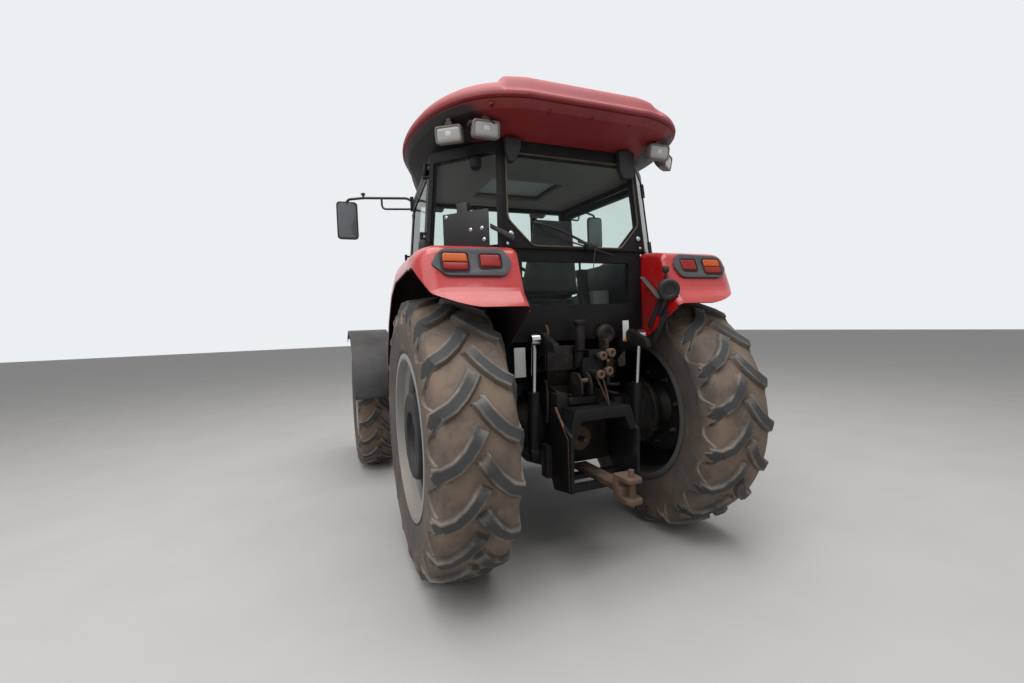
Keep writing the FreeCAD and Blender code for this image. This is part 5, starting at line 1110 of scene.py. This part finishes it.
piece_of("lamp_mouldings", both_sides([lamp_moulding()]), "lamp_grey",
         replaces=("lamp_surrounds",), crease=32)
# the black trays are partly the wells' own colour and partly painted shade
trays = []
for across, up, width, height, radius in WELLS:
    outer = rounded_box(across, up, width - 1, height - 1, radius)
    inner = shrink(outer, 4)
    trays.append(levels([(outer, 3.2), (outer, 15.5), (inner, 15.5), (inner, 5)]))
piece_of("lamp_wells", both_sides(trays), "black_plastic", crease=30)
for finish in ("lamp_lens", "lamp_amber"):
    lenses = []
    for across, up, width, height, radii, kind in LENSES:
        if kind == finish:
            foot = rounded_box(across, up, width, height, radii)
            lenses.append(levels([(foot, 4), (foot, 13), (shrink(foot, 1.5), 15.5), (shrink(foot, 5), 17.2),
                                  (shrink(foot, 12), 18)]))
    piece_of(f"tail_{finish}", both_sides(lenses), finish, crease=50,
             replaces=("tail_lamps",) if finish == "lamp_lens" else ())
print("lamp mouldings and lenses made")

# %% [markdown]
# Work lamps under the roof's rim are plastic boxes with a pale bezel, a clear lens that
# stands just inside it, a bulb in the middle and a steel clip on top. One function places
# points on a lamp, so that all three on a side come from the same outlines.

# %% Work lamps
LAMP_SPOTS = ((-366, 604, 0, -1), (-232, 795, 35, -1), (1385, 520, 0, 1))    # x, y, turn out, facing
LAMP_HEIGHT, LAMP_FRONT = 2616, 30
LAMP_AHEAD, LAMP_DOWN = 0.985, -0.174           # ten degrees down


def lamp_place(x, y, turn_out, facing):
    """A function that places points on this lamp: across, up and out, in millimetres."""
    angle = math.radians(turn_out)
    ahead = Vector((facing * math.cos(angle), math.sin(angle), 0))
    side = Vector((-ahead.y, ahead.x, 0))
    tilt = (ahead * LAMP_AHEAD + Vector((0, 0, LAMP_DOWN))).normalized()
    rise = tilt.cross(side)
    rise = rise if rise.z > 0 else -rise
    middle = mm(x, y, LAMP_HEIGHT)
    return lambda across, up, out: middle + (side * across + rise * up + tilt * (out - LAMP_FRONT)) / 1000


bezels, lenses, bulbs, clips = [], [], [], []
rim, bulb = rounded_box(0, 0, 160, 96, 20), rounded_box(0, 4, 34, 26, 10)
face = shrink(rim, 10.5)
strap, hook = rounded_box(0, 58, 42, 24, 3), rounded_box(0, 74, 26, 34, 3)
for lamp in LAMP_SPOTS:
    on_lamp = lamp_place(*lamp)
    bezels.append(levels([(shrink(rim, 34), -62), (shrink(rim, 10), -40), (rim, -18), (rim, 26),
                          (shrink(rim, 3), 30), (shrink(rim, 9), 30), (shrink(rim, 10), 22)], on_lamp))
    lenses.append(levels([(face, 20), (face, 25), (shrink(face, 4), 27), (shrink(face, 16), 28)], on_lamp))
    bulbs.append(levels([(bulb, 26), (bulb, 28.5), (shrink(bulb, 6), 29.5)], on_lamp))
    clips += [levels([(strap, -12), (strap, 8)], on_lamp), levels([(hook, -8), (hook, 2)], on_lamp)]
piece_of("work_lamp_bezels", both_sides(bezels), "lamp_bezel", replaces=("work_lamps",), crease=40)
piece_of("work_lamp_lenses", both_sides(lenses), "lamp_clear", crease=50)
piece_of("work_lamp_bulbs", both_sides(bulbs), "lamp_bulb", crease=50)
piece_of("work_lamp_clips", both_sides(clips), "steel", round_mm=1.5)
print("work lamps", 2 * len(LAMP_SPOTS))

# %% [markdown]
# The rear window is a pane in a hinged steel frame. Two folded covers hide its hinges under
# the roof, a rubber seal gone brown with dust runs round it, and a wiper lies across its
# lower half: a thin blade held by a cranked arm on a motor below the glass.

# %% Rear window trim
WINDOW_FOOT_X, WINDOW_FOOT_Z = -305, 1965       # the glass leans forwards from here, 62 mm in 660
WINDOW_MIDDLE_Z, SEAL_SIZE = 2262, 1.012


def on_window(y, z, out):
    """A place out millimetres behind the rear window's plane."""
    return mm(WINDOW_FOOT_X + (z - WINDOW_FOOT_Z) * 62 / 660 - out, y, z)


pane = ((-313, 1985), (313, 1985), (462, 2141), (446, 2540), (-446, 2540), (-462, 2141))
seal = rounded([(y * SEAL_SIZE, WINDOW_MIDDLE_Z + (z - WINDOW_MIDDLE_Z) * SEAL_SIZE) for y, z in pane],
               30, 5)
piece_of("rear_window_seal", [bent([on_window(y, z, 3) for y, z in seal + seal[:1]], 6, 0, 8)],
         "dusty_rubber", crease=50)

covers = []
for outline in (((466, 2620), (363, 2614), (367, 2558), (409, 2474), (442, 2468), (462, 2536)),
                ((-334, 2622), (-459, 2622), (-439, 2445), (-358, 2435), (-336, 2490))):
    covers.append(prism([on_window(y, z, 4) for y, z in rounded(outline, 14, 4)], (-0.040, 0, 0.004)))
covers.append(bent([mm(-90, 588, 2600), mm(-90, 588, 2555)], 8, 0, 12))
covers.append(turned(mm(-90, 588, 2476), (0, 0, 1), [(0, 20), (14, 34), (60, 38), (82, 24)], 24))
piece_of("hinge_covers", covers, "black_plastic", round_mm=5)

blade = [(309, 2129, 12), (216, 2059, 13), (120, 2028, 14), (22, 2003, 14), (-251, 1933, 14)]
arm = [(313, 2122, 24), (214, 2100, 36), (119, 2070, 38), (44, 2035, 40), (2, 2018, 40), (-63, 1988, 30)]
bridge = [(20, 2022, 30), (20, 2006, 30), (-110, 1976, 30), (-110, 1994, 30)]
wiper = [bent([on_window(*spot) for spot in blade], 5, 12, 8),
         bent([on_window(*spot) for spot in arm], 8, 20, 10),
         turned(on_window(-63, 1988, 0), (-1, 0, 0), [(0, 26), (30, 26), (36, 18), (44, 16)], 24),
         bent([on_window(313, 2122, 24), on_window(300, 2126, 12)], 7, 0, 8),
         prism([on_window(*spot) for spot in bridge], (-0.016, 0, 0))]
piece_of("rear_wiper", wiper, "black_plastic", round_mm=1)
wire = [mm(-344, -100, 1973), mm(-353, -80, 1901), mm(-358, -70, 1820), mm(-350, -60, 1786)]
piece_of("wiper_wire", [bent(wire, 3, 20, 6)], "black_plastic", crease=60)

catches = [turned(on_window(y, 2050, 0), (-1, 0, 0), [(0, 15), (14, 15), (18, 10)], 18) for y in (-455, 455)]
for y, z in ((-470, 1990), (-470, 1940), (480, 1990), (480, 1925)):
    catches.append(turned(on_window(y, z, -4), (-1, 0, 0), [(0, 9), (10, 9), (12, 6)], 6))
piece_of("window_catches", catches, "chrome", crease=40)
print("rear window trim made")

# %% [markdown]
# Behind the left rear quarter glass stands a control box for an implement: a flat black
# housing held by screws, a smaller box on top, and a folded bar that carries its cable. A
# rubber boot seals where the door's post meets the fender.

# %% Control box
BOX_FOOT_Z = 1965
box_foot = mm(-305, 510, BOX_FOOT_Z)
box_along = (mm(91, 888.7, BOX_FOOT_Z) - box_foot).normalized()
box_out = Vector((-box_along.y, box_along.x, 0))
box_out = box_out if box_out.x < 0 else -box_out


def on_box(along, z, out):
    """A place on the quarter glass that the box stands against, in millimetres."""
    rise = Vector((0, 0, (z - BOX_FOOT_Z) / 1000))
    return box_foot + box_along * along / 1000 + box_out * out / 1000 + rise


screws = [turned(on_box(along, z, 55), box_out, [(0, 11), (4, 11), (6, 7), (6, 4), (3, 4)], 16)
          for along, z in ((345, 2172), (180, 2080), (105, 2082), (92, 2015))]
piece_of("control_box_screws", screws, "chrome", crease=40)
lid = rounded([(68, 1975), (362, 1975), (362, 2184), (68, 2184)], 10, 4)
bar = ((60, 2108), (60, 2078), (-92, 1990), (-92, 2022))
plates = [prism([on_box(along, z, 50) for along, z in lid], box_out * 0.006),
          prism([on_box(along, z, 30) for along, z in bar], box_out * 0.010),
          turned(mm(60, 905, 1990), (0, 0, 1), [(-60, 20), (-20, 34), (40, 30), (70, 22)], 20)]
piece_of("control_box_plates", plates, "black_plastic", round_mm=2)
print("control box made")

# %% [markdown]
# Inside each rear wheel a planetary final drive ends the axle: a stepped cast drum with a
# ring of bolts. The wheel's own centre is a deep steel dish, painted black on the inside,
# so the rim looks like a dark tunnel with a bright barrel.

# %% Final drives and wheel dishes
AXLE_Z = 850                # millimetres, as in mm()
DRUM = [(0, 150), (14, 196), (30, 202), (96, 204), (104, 236), (112, 242), (138, 242), (144, 236),
        (150, 205), (196, 198), (206, 186)]
drum = [turned(mm(0, 520, AXLE_Z), (0, 1, 0), DRUM, 72)]
piece_of("final_drives", both_sides(drum), "chassis_grey", round_mm=2)


def bolt_mesh(name, centre, profile, radius, facing, sides=6):
    """One bolt head standing radius millimetres from the Y axis, ready to be copied round it."""
    return mesh_of(name, *turned(Vector((-radius / 1000, centre / 1000, 0)), (0, facing, 0), profile, sides))


BOLT = [(-4, 16), (0, 16), (0, 10.5), (9, 10.5), (11, 8)]
NUT = [(-6, 24), (0, 24), (2, 16), (18, 16), (22, 13), (22, 9), (34, 9), (36, 6)]
DISH = [(-3, 478), (0, 478), (6, 470), (12, 430), (30, 398), (62, 372), (100, 352), (132, 330), (142, 300),
        (144, 214), (138, 208), (120, 206), (120, 120), (-3, 118)]
BOLT_COUNT, NUT_COUNT = 14, 8
centre = (AXLE_X, 0, REAR_RADIUS)
for side, name in ((1, "left"), (-1, "right")):
    wheel = f"rear_wheel_{name}"
    bolts = ring_of(bolt_mesh("drive_bolt", side * 632, BOLT, 222, -side), BOLT_COUNT, 0.1, "steel")
    place(f"final_drive_bolts_{name}", joined("drive_bolts", [bolts], centre), "steel", "chassis")
    dish = [turned(mm(0, side * 948, AXLE_Z), (0, -side, 0), DISH, 96)]
    piece_of(f"wheel_dish_{name}", dish, "dull_black", wheel, crease=32)
    nuts = ring_of(bolt_mesh("wheel_nut", side * 806, NUT, 258, -side), NUT_COUNT, 0.2, "steel")
    place(f"wheel_nuts_{name}", joined("wheel_nuts", [nuts], centre), "steel", wheel)
print("final drives and dishes made")

# %% [markdown]
# The back of a tractor is where it works: a lift with two hydraulic rams, a top-link
# bracket with its pin, coupler sockets for an implement's oil lines, levers, a guard over
# the power shaft and a drawbar. Each small part is a plate, a turned part or a rigid pipe,
# and they are joined by finish.

# %% The hitch's plates and castings
def plate_yz(x, thick, corners, radius=4):
    """A plate that faces backwards, from its corners across and up."""
    return prism([mm(x, y, z) for y, z in rounded(corners, radius, 4)], (thick / 1000, 0, 0))


def plate_xz(y, thick, corners, radius=4):
    """A plate that faces sideways, from its corners along and up."""
    return prism([mm(x, y, z) for x, z in rounded(corners, radius, 4)], (0, thick / 1000, 0))


CHEEK = [(-470, 1070), (-330, 1050), (-330, 1205), (-430, 1205), (-470, 1150)]
dark = [
    plate_yz(-352, 12, [(280, 1222), (280, 1372), (66, 1372), (66, 1222)], 12),
    block(-352, -235, 266, 276, 1225, 1360), block(-352, -235, 78, 90, 1225, 1360),
    bent([mm(-395, 62, 1340), mm(-395, 62, 1500)], 30, 0, 20),
    bent([mm(-395, 62, 1340), mm(-350, 62, 1240)], 24, 10, 16),
    turned(mm(-395, 62, 1500), (0, 0, 1), [(0, 38), (22, 38), (26, 30)], 20),
    plate_xz(92, 12, CHEEK, 20), plate_xz(26, 12, CHEEK, 20),
    block(-400, -235, -30, 150, 1010, 1052), block(-380, -235, 150, 225, 930, 1080),
    block(-340, -235, -215, -130, 1150, 1320), block(-420, -340, -130, -106, 1120, 1400),
    turned(mm(-300, -175, 1430), (-1, 0, 0), [(0, 62), (30, 62), (36, 52), (50, 48), (50, 26), (38, 24)],
           28),
    plate_yz(-372, 8, [(-284, 1225), (-235, 1215), (-225, 1262), (-284, 1318)], 8),
    bent([mm(-235, 230, 1150), mm(-300, 250, 1120), mm(-320, 258, 1010), mm(-300, 258, 900)], 11, 40, 10),
    bent([mm(-235, 200, 1110), mm(-330, 190, 1080), mm(-345, 120, 1060), mm(-345, 40, 1060)], 9, 30, 10),
    bent([mm(-235, -150, 1090), mm(-330, -170, 1060), mm(-350, -230, 1040), mm(-260, -300, 1030)],
         10, 30, 10),
    bent([mm(-235, -120, 1120), mm(-345, -150, 1110), mm(-345, -240, 1100), mm(-240, -320, 1090)],
         10, 30, 10),
    block(-330, -250, 244, 282, 560, 760), block(-300, -235, -300, -240, 900, 1010)]
piece_of("hitch_brackets", dark, "chassis_grey", round_mm=2)

bright = [
    bent([mm(-440, 98, 1160), mm(-440, 46, 1160)], 13, 0, 16),
    bent([mm(-428, -18, 1190), mm(-440, -60, 1090), mm(-452, -118, 950)], 6, 30, 10),
    bent([mm(-440, -60, 1180), mm(-452, -84, 1070), mm(-458, -98, 960)], 6, 30, 10)]
COUPLER = [(0, 24), (22, 24), (24, 27), (38, 27), (42, 22), (42, 12), (30, 11)]
for y, z in ((-31, 1306), (-92, 1322), (-13, 1195), (-72, 1212)):
    bright.append(turned(mm(-470, y, z), (-1, 0, 0), COUPLER, 20))
piece_of("hitch_bright_parts", bright, "steel", round_mm=0.8)
rusty = [
    bent([mm(-340, 329, 1336), mm(-352, 300, 1352), mm(-352, 268, 1400), mm(-345, 250, 1465),
          mm(-330, 258, 1500)], 7, 24, 10),
    prism([mm(-536, 227, 838), mm(-376, 227, 1004), mm(-366, 227, 1002), mm(-526, 227, 834)], (0, 0.014, 0)),
    prism([mm(-536, 227, 540), mm(-536, 227, 838), mm(-527, 227, 838), mm(-527, 227, 540)], (0, 0.014, 0))]
piece_of("hitch_rusty_parts", rusty, "rusty_edge", round_mm=1)
pale = [plate_yz(-334, 6, [(474, 1196), (474, 1372), (402, 1372), (402, 1196)], 5),
        plate_yz(-372, 5, [(-272, 1380), (-272, 1512), (-316, 1512), (-316, 1380)], 3)]
piece_of("blank_white_plates", pale, "pale_paint", round_mm=1)
tag = [plate_yz(-225, 5, [(-414, 800), (-414, 872), (-500, 864), (-500, 792)], 4)]
piece_of("red_tag", tag, "red_paint", round_mm=1)
yellow = [turned(mm(-405, -118, 1268), (-1, 0, 0), [(0, 12), (16, 12), (20, 9)], 12),
          turned(mm(-392, -268, 1385), (-1, 0, 0), [(0, 9), (10, 9), (14, 6)], 10)]
piece_of("yellow_caps", yellow, "lamp_amber", crease=40)
print("hitch parts made")

# %% [markdown]
# On the right fender's inner wall hang two dark straps, a folded grey strip and a round
# socket with a short lever, where the trailer's lights plug in.

# %% Right fender fittings
STRAP_Y = -485
SOCKET = [(-20, 40), (0, 62), (26, 66), (44, 66), (50, 58), (50, 40), (40, 36)]
fittings = [
    plate_xz(STRAP_Y, 5, [(-560, 1560), (-528, 1590), (-395, 1380), (-420, 1350)], 4),
    plate_xz(STRAP_Y, 5, [(-500, 1640), (-468, 1660), (-350, 1470), (-378, 1440)], 4),
    turned(mm(-560, -470, 1700), (-0.75, 0.35, -0.2), SOCKET, 32),
    bent([mm(-540, -470, 1720), mm(-560, -462, 1800)], 9, 0, 12),
    turned(mm(-562, -461, 1808), (0, 0, 1), [(-10, 14), (0, 20), (14, 22), (28, 18), (34, 8)], 20),
    bent([mm(-560, -470, 1660), mm(-520, -470, 1590), mm(-470, -478, 1540)], 14, 20, 12)]
piece_of("fender_socket", fittings, "black_plastic", round_mm=1.5)
strip = [prism([mm(-343, -432, 1792), mm(-343, -472, 1792), mm(-506, -476, 1640), mm(-506, -436, 1640)],
               (-0.004, 0, 0.004)),
         prism([mm(-506, -436, 1642), mm(-506, -476, 1642), mm(-530, -476, 1655), mm(-530, -436, 1655)],
               (-0.003, 0, -0.004))]
piece_of("fender_strip", strip, "lamp_grey", round_mm=1)
print("fender fittings made")

# %% [markdown]
# The mirrors are rounded plastic heads on a double tube: a straight one above and one that
# drops to the head below, clamped by a knob. The glass faces backwards.

# %% Mirrors
def on_mirror(across, up, out):
    """A place on the left mirror's head, out towards the back, in millimetres."""
    return mm(1500 - out, 1277 + across, 2480 + up)


rim = rounded_box(0, 0, 178, 330, 36)
pane = shrink(rim, 12)
heads = [levels([(shrink(rim, 34), -38), (shrink(rim, 10), -26), (rim, -6), (rim, 10), (shrink(rim, 3), 14),
                 (shrink(rim, 9), 14), (shrink(rim, 11), 9)], on_mirror)]
mirror_glass = [levels([(pane, 8), (pane, 12), (shrink(rim, 15), 13)], on_mirror)]
tubes = [
    bent([mm(1224, 757, 2618), mm(1242, 790, 2642), mm(1421, 1141, 2668), mm(1486, 1262, 2664),
          mm(1502, 1277, 2636)], 11, 40, 14),
    bent([mm(1346, 994, 2652), mm(1346, 992, 2562), mm(1224, 757, 2546)], 9, 45, 12),
    turned(mm(1421, 1141, 2664), (0, 0, 1), [(0, 9), (26, 9), (30, 19), (42, 19), (48, 12)], 18),
    turned(mm(1502, 1277, 2612), (0, 0, 1), [(0, 16), (34, 16), (40, 12)], 18),
    bent([mm(1219, 745, 2500), mm(1219, 745, 2425)], 12, 0, 12),
    block(1214, 1236, 738, 766, 2528, 2652)]
piece_of("mirror_glasses", both_sides(mirror_glass), "mirror_face", crease=40)
piece_of("mirror_sets", both_sides(heads + tubes), "black_plastic", replaces=("mirrors",), crease=42)
print("mirrors made")

# %% [markdown]
# The roof moulding is screwed to the cab from below, so its skirt has small recesses with a screw in each,
# in a darker copy of the roof's red that is painted shade. Clips hold the wiring of the lamps.

# %% Roof screws and clips
RECESS = [(-18, 13), (5, 14), (8, 11), (8, 8), (0, 7)]
recesses = [turned(mm(x, y, 2714), (-0.75, 0, -0.66), RECESS, 16)
            for x, y in ((-472, 263), (-473, -10), (-468, -288), (-440, 600))]
piece_of("roof_screws", recesses, "roof_red_deep", crease=45)
clips = [bent([mm(-330, 545, 2642), mm(-372, 560, 2650), mm(-376, 590, 2664)], 4, 8, 8),
         bent([mm(-330, -545, 2642), mm(-360, -575, 2650), mm(-366, -610, 2664)], 4, 8, 8),
         block(-345, -290, 640, 700, 2640, 2662), block(-345, -290, -700, -640, 2640, 2662)]
piece_of("roof_clips", clips, "black_plastic", round_mm=1)
print("roof details made")

# %% [markdown]
# The seat is foam under cloth. A cushion swells between its seams, so each pad starts as a plain block a
# little smaller than its cover, is remeshed to an even skin, and is blown up by a short Cloth simulation
# with gravity off. How far a point may move is capped, and the seams go on afterwards, where the real ones
# are sewn.

# %% Seat pads
VOXEL = 0.006
PRESSURE, FRAMES, SWELL_CAP = 4.0, 20, 0.012
STRAIGHT_SHARE = 0.35           # the part of the backrest's height that does not narrow


def pad_block(outline, half_width, top_share=1.0):
    """A pad from its side outline in millimetres; the upper part narrows to top_share."""
    lowest, highest = min(z for _, z in outline), max(z for _, z in outline)
    side = rounded(outline, 28, 5)
    rows = []
    for step in range(9):
        y = -half_width + 2 * half_width * step / 8
        row = []
        for x, z in side:
            rise = max(0, (z - lowest) / (highest - lowest) - STRAIGHT_SHARE)
            row.append(mm(x, y * (1 + (top_share - 1) * rise / (1 - STRAIGHT_SHARE)), z))
        rows.append(row)
    return swept(rows)


def points_of(mesh):
    """The mesh's points, as rows of three numbers."""
    flat = np.empty(len(mesh.vertices) * 3)
    mesh.vertices.foreach_get("co", flat)
    return flat.reshape(-1, 3)


def swollen(name, skin):
    pad = holder_of(name, mesh_of(name, *skin))
    even = pad.modifiers.new("even", "REMESH")
    even.mode, even.voxel_size = "VOXEL", VOXEL
    pad.data = evaluated(pad)
    before = points_of(pad.data)
    cloth = pad.modifiers.new("cloth", "CLOTH")
    cloth.settings.use_pressure, cloth.settings.uniform_pressure_force = True, PRESSURE
    cloth.settings.effector_weights.gravity = 0.0
    cloth.point_cache.frame_start, cloth.point_cache.frame_end = 1, FRAMES
    for frame_number in range(1, FRAMES + 1):
        bpy.context.scene.frame_set(frame_number)
    pad.data = evaluated(pad)
    bpy.context.scene.frame_set(1)
    move = points_of(pad.data) - before
    length = np.maximum(np.linalg.norm(move, axis=1, keepdims=True), 1e-9)
    capped = before + move / length * np.minimum(length, SWELL_CAP)
    pad.data.vertices.foreach_set("co", capped.ravel())
    relax = pad.modifiers.new("relax", "SMOOTH")
    relax.factor, relax.iterations = 0.5, 6
    return plain(pad)


def channelled(mesh, axis, lines, depth, reach, facing):
    """Sewn channels: points near each line sink, on the side that faces the given way."""
    for vertex in mesh.vertices:
        toward = vertex.normal.dot(facing)
        if toward > 0.25:
            for line in lines:
                near = abs(vertex.co[axis] - line) / reach
                if near < 1:
                    vertex.co -= vertex.normal * depth * (1 - near ** 2) ** 2 * min(1, toward)


UPWARDS, FORWARDS = Vector((0, 0, 1)), Vector((0.97, 0, 0.2))
cushion = swollen("seat_cushion", pad_block(((120, 1574), (600, 1580), (598, 1660), (130, 1676)), 226))
channelled(cushion, 1, (-0.14, 0.14), 0.010, 0.022, UPWARDS)
channelled(cushion, 0, (AXLE_X + 0.30, AXLE_X + 0.44), 0.008, 0.020, UPWARDS)
back = swollen("seat_back", pad_block(((84, 1706), (176, 1706), (62, 2232), (-6, 2232)), 222, 0.62))
channelled(back, 1, (-0.12, 0.12), 0.010, 0.022, FORWARDS)
channelled(back, 2, (1.86, 2.0), 0.009, 0.022, FORWARDS)
pads = place("seat_cushions", joined("seat_cushions", [cushion, back]), "seat_fabric", "chassis",
             ("seat_pads",), 60)
print("seat pads", len(pads.data.polygons), "faces")

# %% [markdown]
# The cab's roof has a hatch with a pale blind under it, in a thin black frame, and it shows pale through the
# windows. A black sheet inside each of the cab's sides below the rear window is painted shade: it stands for
# the dark inside of the cab.

# %% Hatch blind and shade sheets
blind_line = rounded([(360, -290), (940, -290), (940, 290), (360, 290)], 40, 6)
piece_of("hatch_blind", [prism([mm(x, y, 2640) for x, y in blind_line], (0, 0, 0.004))], "blind", round_mm=1)
frame_line = [mm(x, y, 2634) for x, y in ((355, -295), (945, -295), (945, 295), (355, 295), (355, -290))]
piece_of("hatch_frame", [bent(frame_line, 9, 20, 10)], "black_plastic")
# painted shade: black sheets behind the lower side glass
piece_of("cab_lining", both_sides([block(-285, 470, 478, 484, 1440, 1935)]), "black_plastic", round_mm=1)
print("hatch and lining made")

# %% [markdown]
# The nose has a black mesh grille between two lamps. The mesh is one bar, copied across and
# up by Geometry Nodes, and each lamp is a clear lens over a bright bowl.

# %% Grille bars and headlamps
upright = bent([mm(3400, -180, 1000), mm(3400, -180, 1316)], 2.5, 0, 6)
crossbar = bent([mm(3400, -184, 1006), mm(3400, 184, 1006)], 4.0, 0, 6)
UPRIGHTS, CROSSBARS = 25, 11
bars = [row_of("bar_up", upright, UPRIGHTS, (0, 0.015, 0), "black_plastic"),
        row_of("bar_across", crossbar, CROSSBARS, (0, 0, 0.030), "black_plastic")]
place("grille_bars", joined("grille_bars", bars), "black_plastic", "hood", crease=50)


def on_nose(y, z, out):
    return mm(3412 + out, y, z)


bowls, clears = [], []
for side in (1, -1):
    outline = rounded([(side * 60, 1360), (side * 186, 1360), (side * 186, 1424), (side * 60, 1424)], 14, 5)
    clears.append(levels([(outline, 0), (outline, 4), (shrink(outline, 4), 7), (shrink(outline, 20), 8)],
                         on_nose))
    for y in (92, 152):
        bowls.append(turned(mm(3413, side * y, 1392), (1, 0, 0), [(0, 25), (6, 25), (8, 23), (9.5, 12)], 24))
piece_of("headlamp_lenses", clears, "lamp_clear", "hood", crease=50)
piece_of("headlamp_bowls", bowls, "chrome", "hood", crease=50)
print("nose made")

# %% [markdown]
# The stage is a pale floor and a soft, even sky, close to the flat light of an overcast
# yard. The floor and sky are told apart from the object: cameras, reflections and glass see
# them pale, while the light that falls on the tractor stays at a plain level.

# %% Floor, sky and lamps
bpy.ops.mesh.primitive_plane_add(size=80)
floor = bpy.context.object
floor.name = "floor"
floor_paint = Paint("floor")
grit = floor_paint.noise(1.6, 5.0)
floor.data.materials.append(floor_paint.close(
    floor_paint.mix(grit, (0.40, 0.385, 0.365), (0.47, 0.455, 0.435)), 0.9, bump=grit, strength=0.1))

world = bpy.data.worlds.new("overcast")
bpy.context.scene.world = world
world.use_nodes = True
sky = world.node_tree
sky.nodes.clear()
parts = {key: sky.nodes.new("ShaderNode" + kind) for key, kind in (
    ("path", "LightPath"), ("seen", "Math"), ("seen_or_through_glass", "Math"), ("light", "Background"),
    ("backdrop", "Background"), ("mixed", "MixShader"), ("out", "OutputWorld"))}
parts["seen"].operation = parts["seen_or_through_glass"].operation = "MAXIMUM"
for key, colour, strength in (
        ("light", (0.93, 0.96, 1.0, 1), 0.40), ("backdrop", (0.84, 0.86, 0.89, 1), 1.0)):
    parts[key].inputs["Color"].default_value = colour
    parts[key].inputs["Strength"].default_value = strength
for source, output, target, entry in (
        ("path", "Is Camera Ray", "seen", 0), ("path", "Is Glossy Ray", "seen", 1),
        ("seen", 0, "seen_or_through_glass", 0), ("path", "Is Transmission Ray", "seen_or_through_glass", 1),
        ("seen_or_through_glass", 0, "mixed", 0), ("light", 0, "mixed", 1), ("backdrop", 0, "mixed", 2),
        ("mixed", 0, "out", 0)):
    sky.links.new(parts[source].outputs[output], parts[target].inputs[entry])

AIM = Vector((-0.6, 0, 1.0))
for name, spot, size, power in (
        ("sky_left", (-5.0, 6.0, 7.0), 7.0, 300), ("sky_above", (-2.0, 0.5, 8.5), 8.0, 820)):
    lamp = bpy.data.lights.new(name, "AREA")
    lamp.size, lamp.energy = size, power
    holder = holder_of(name, lamp)
    holder.location = spot
    holder.rotation_euler = (AIM - Vector(spot)).to_track_quat("-Z", "Y").to_euler()
bpy.context.scene.view_settings.view_transform = "Standard"
print("stage ready")
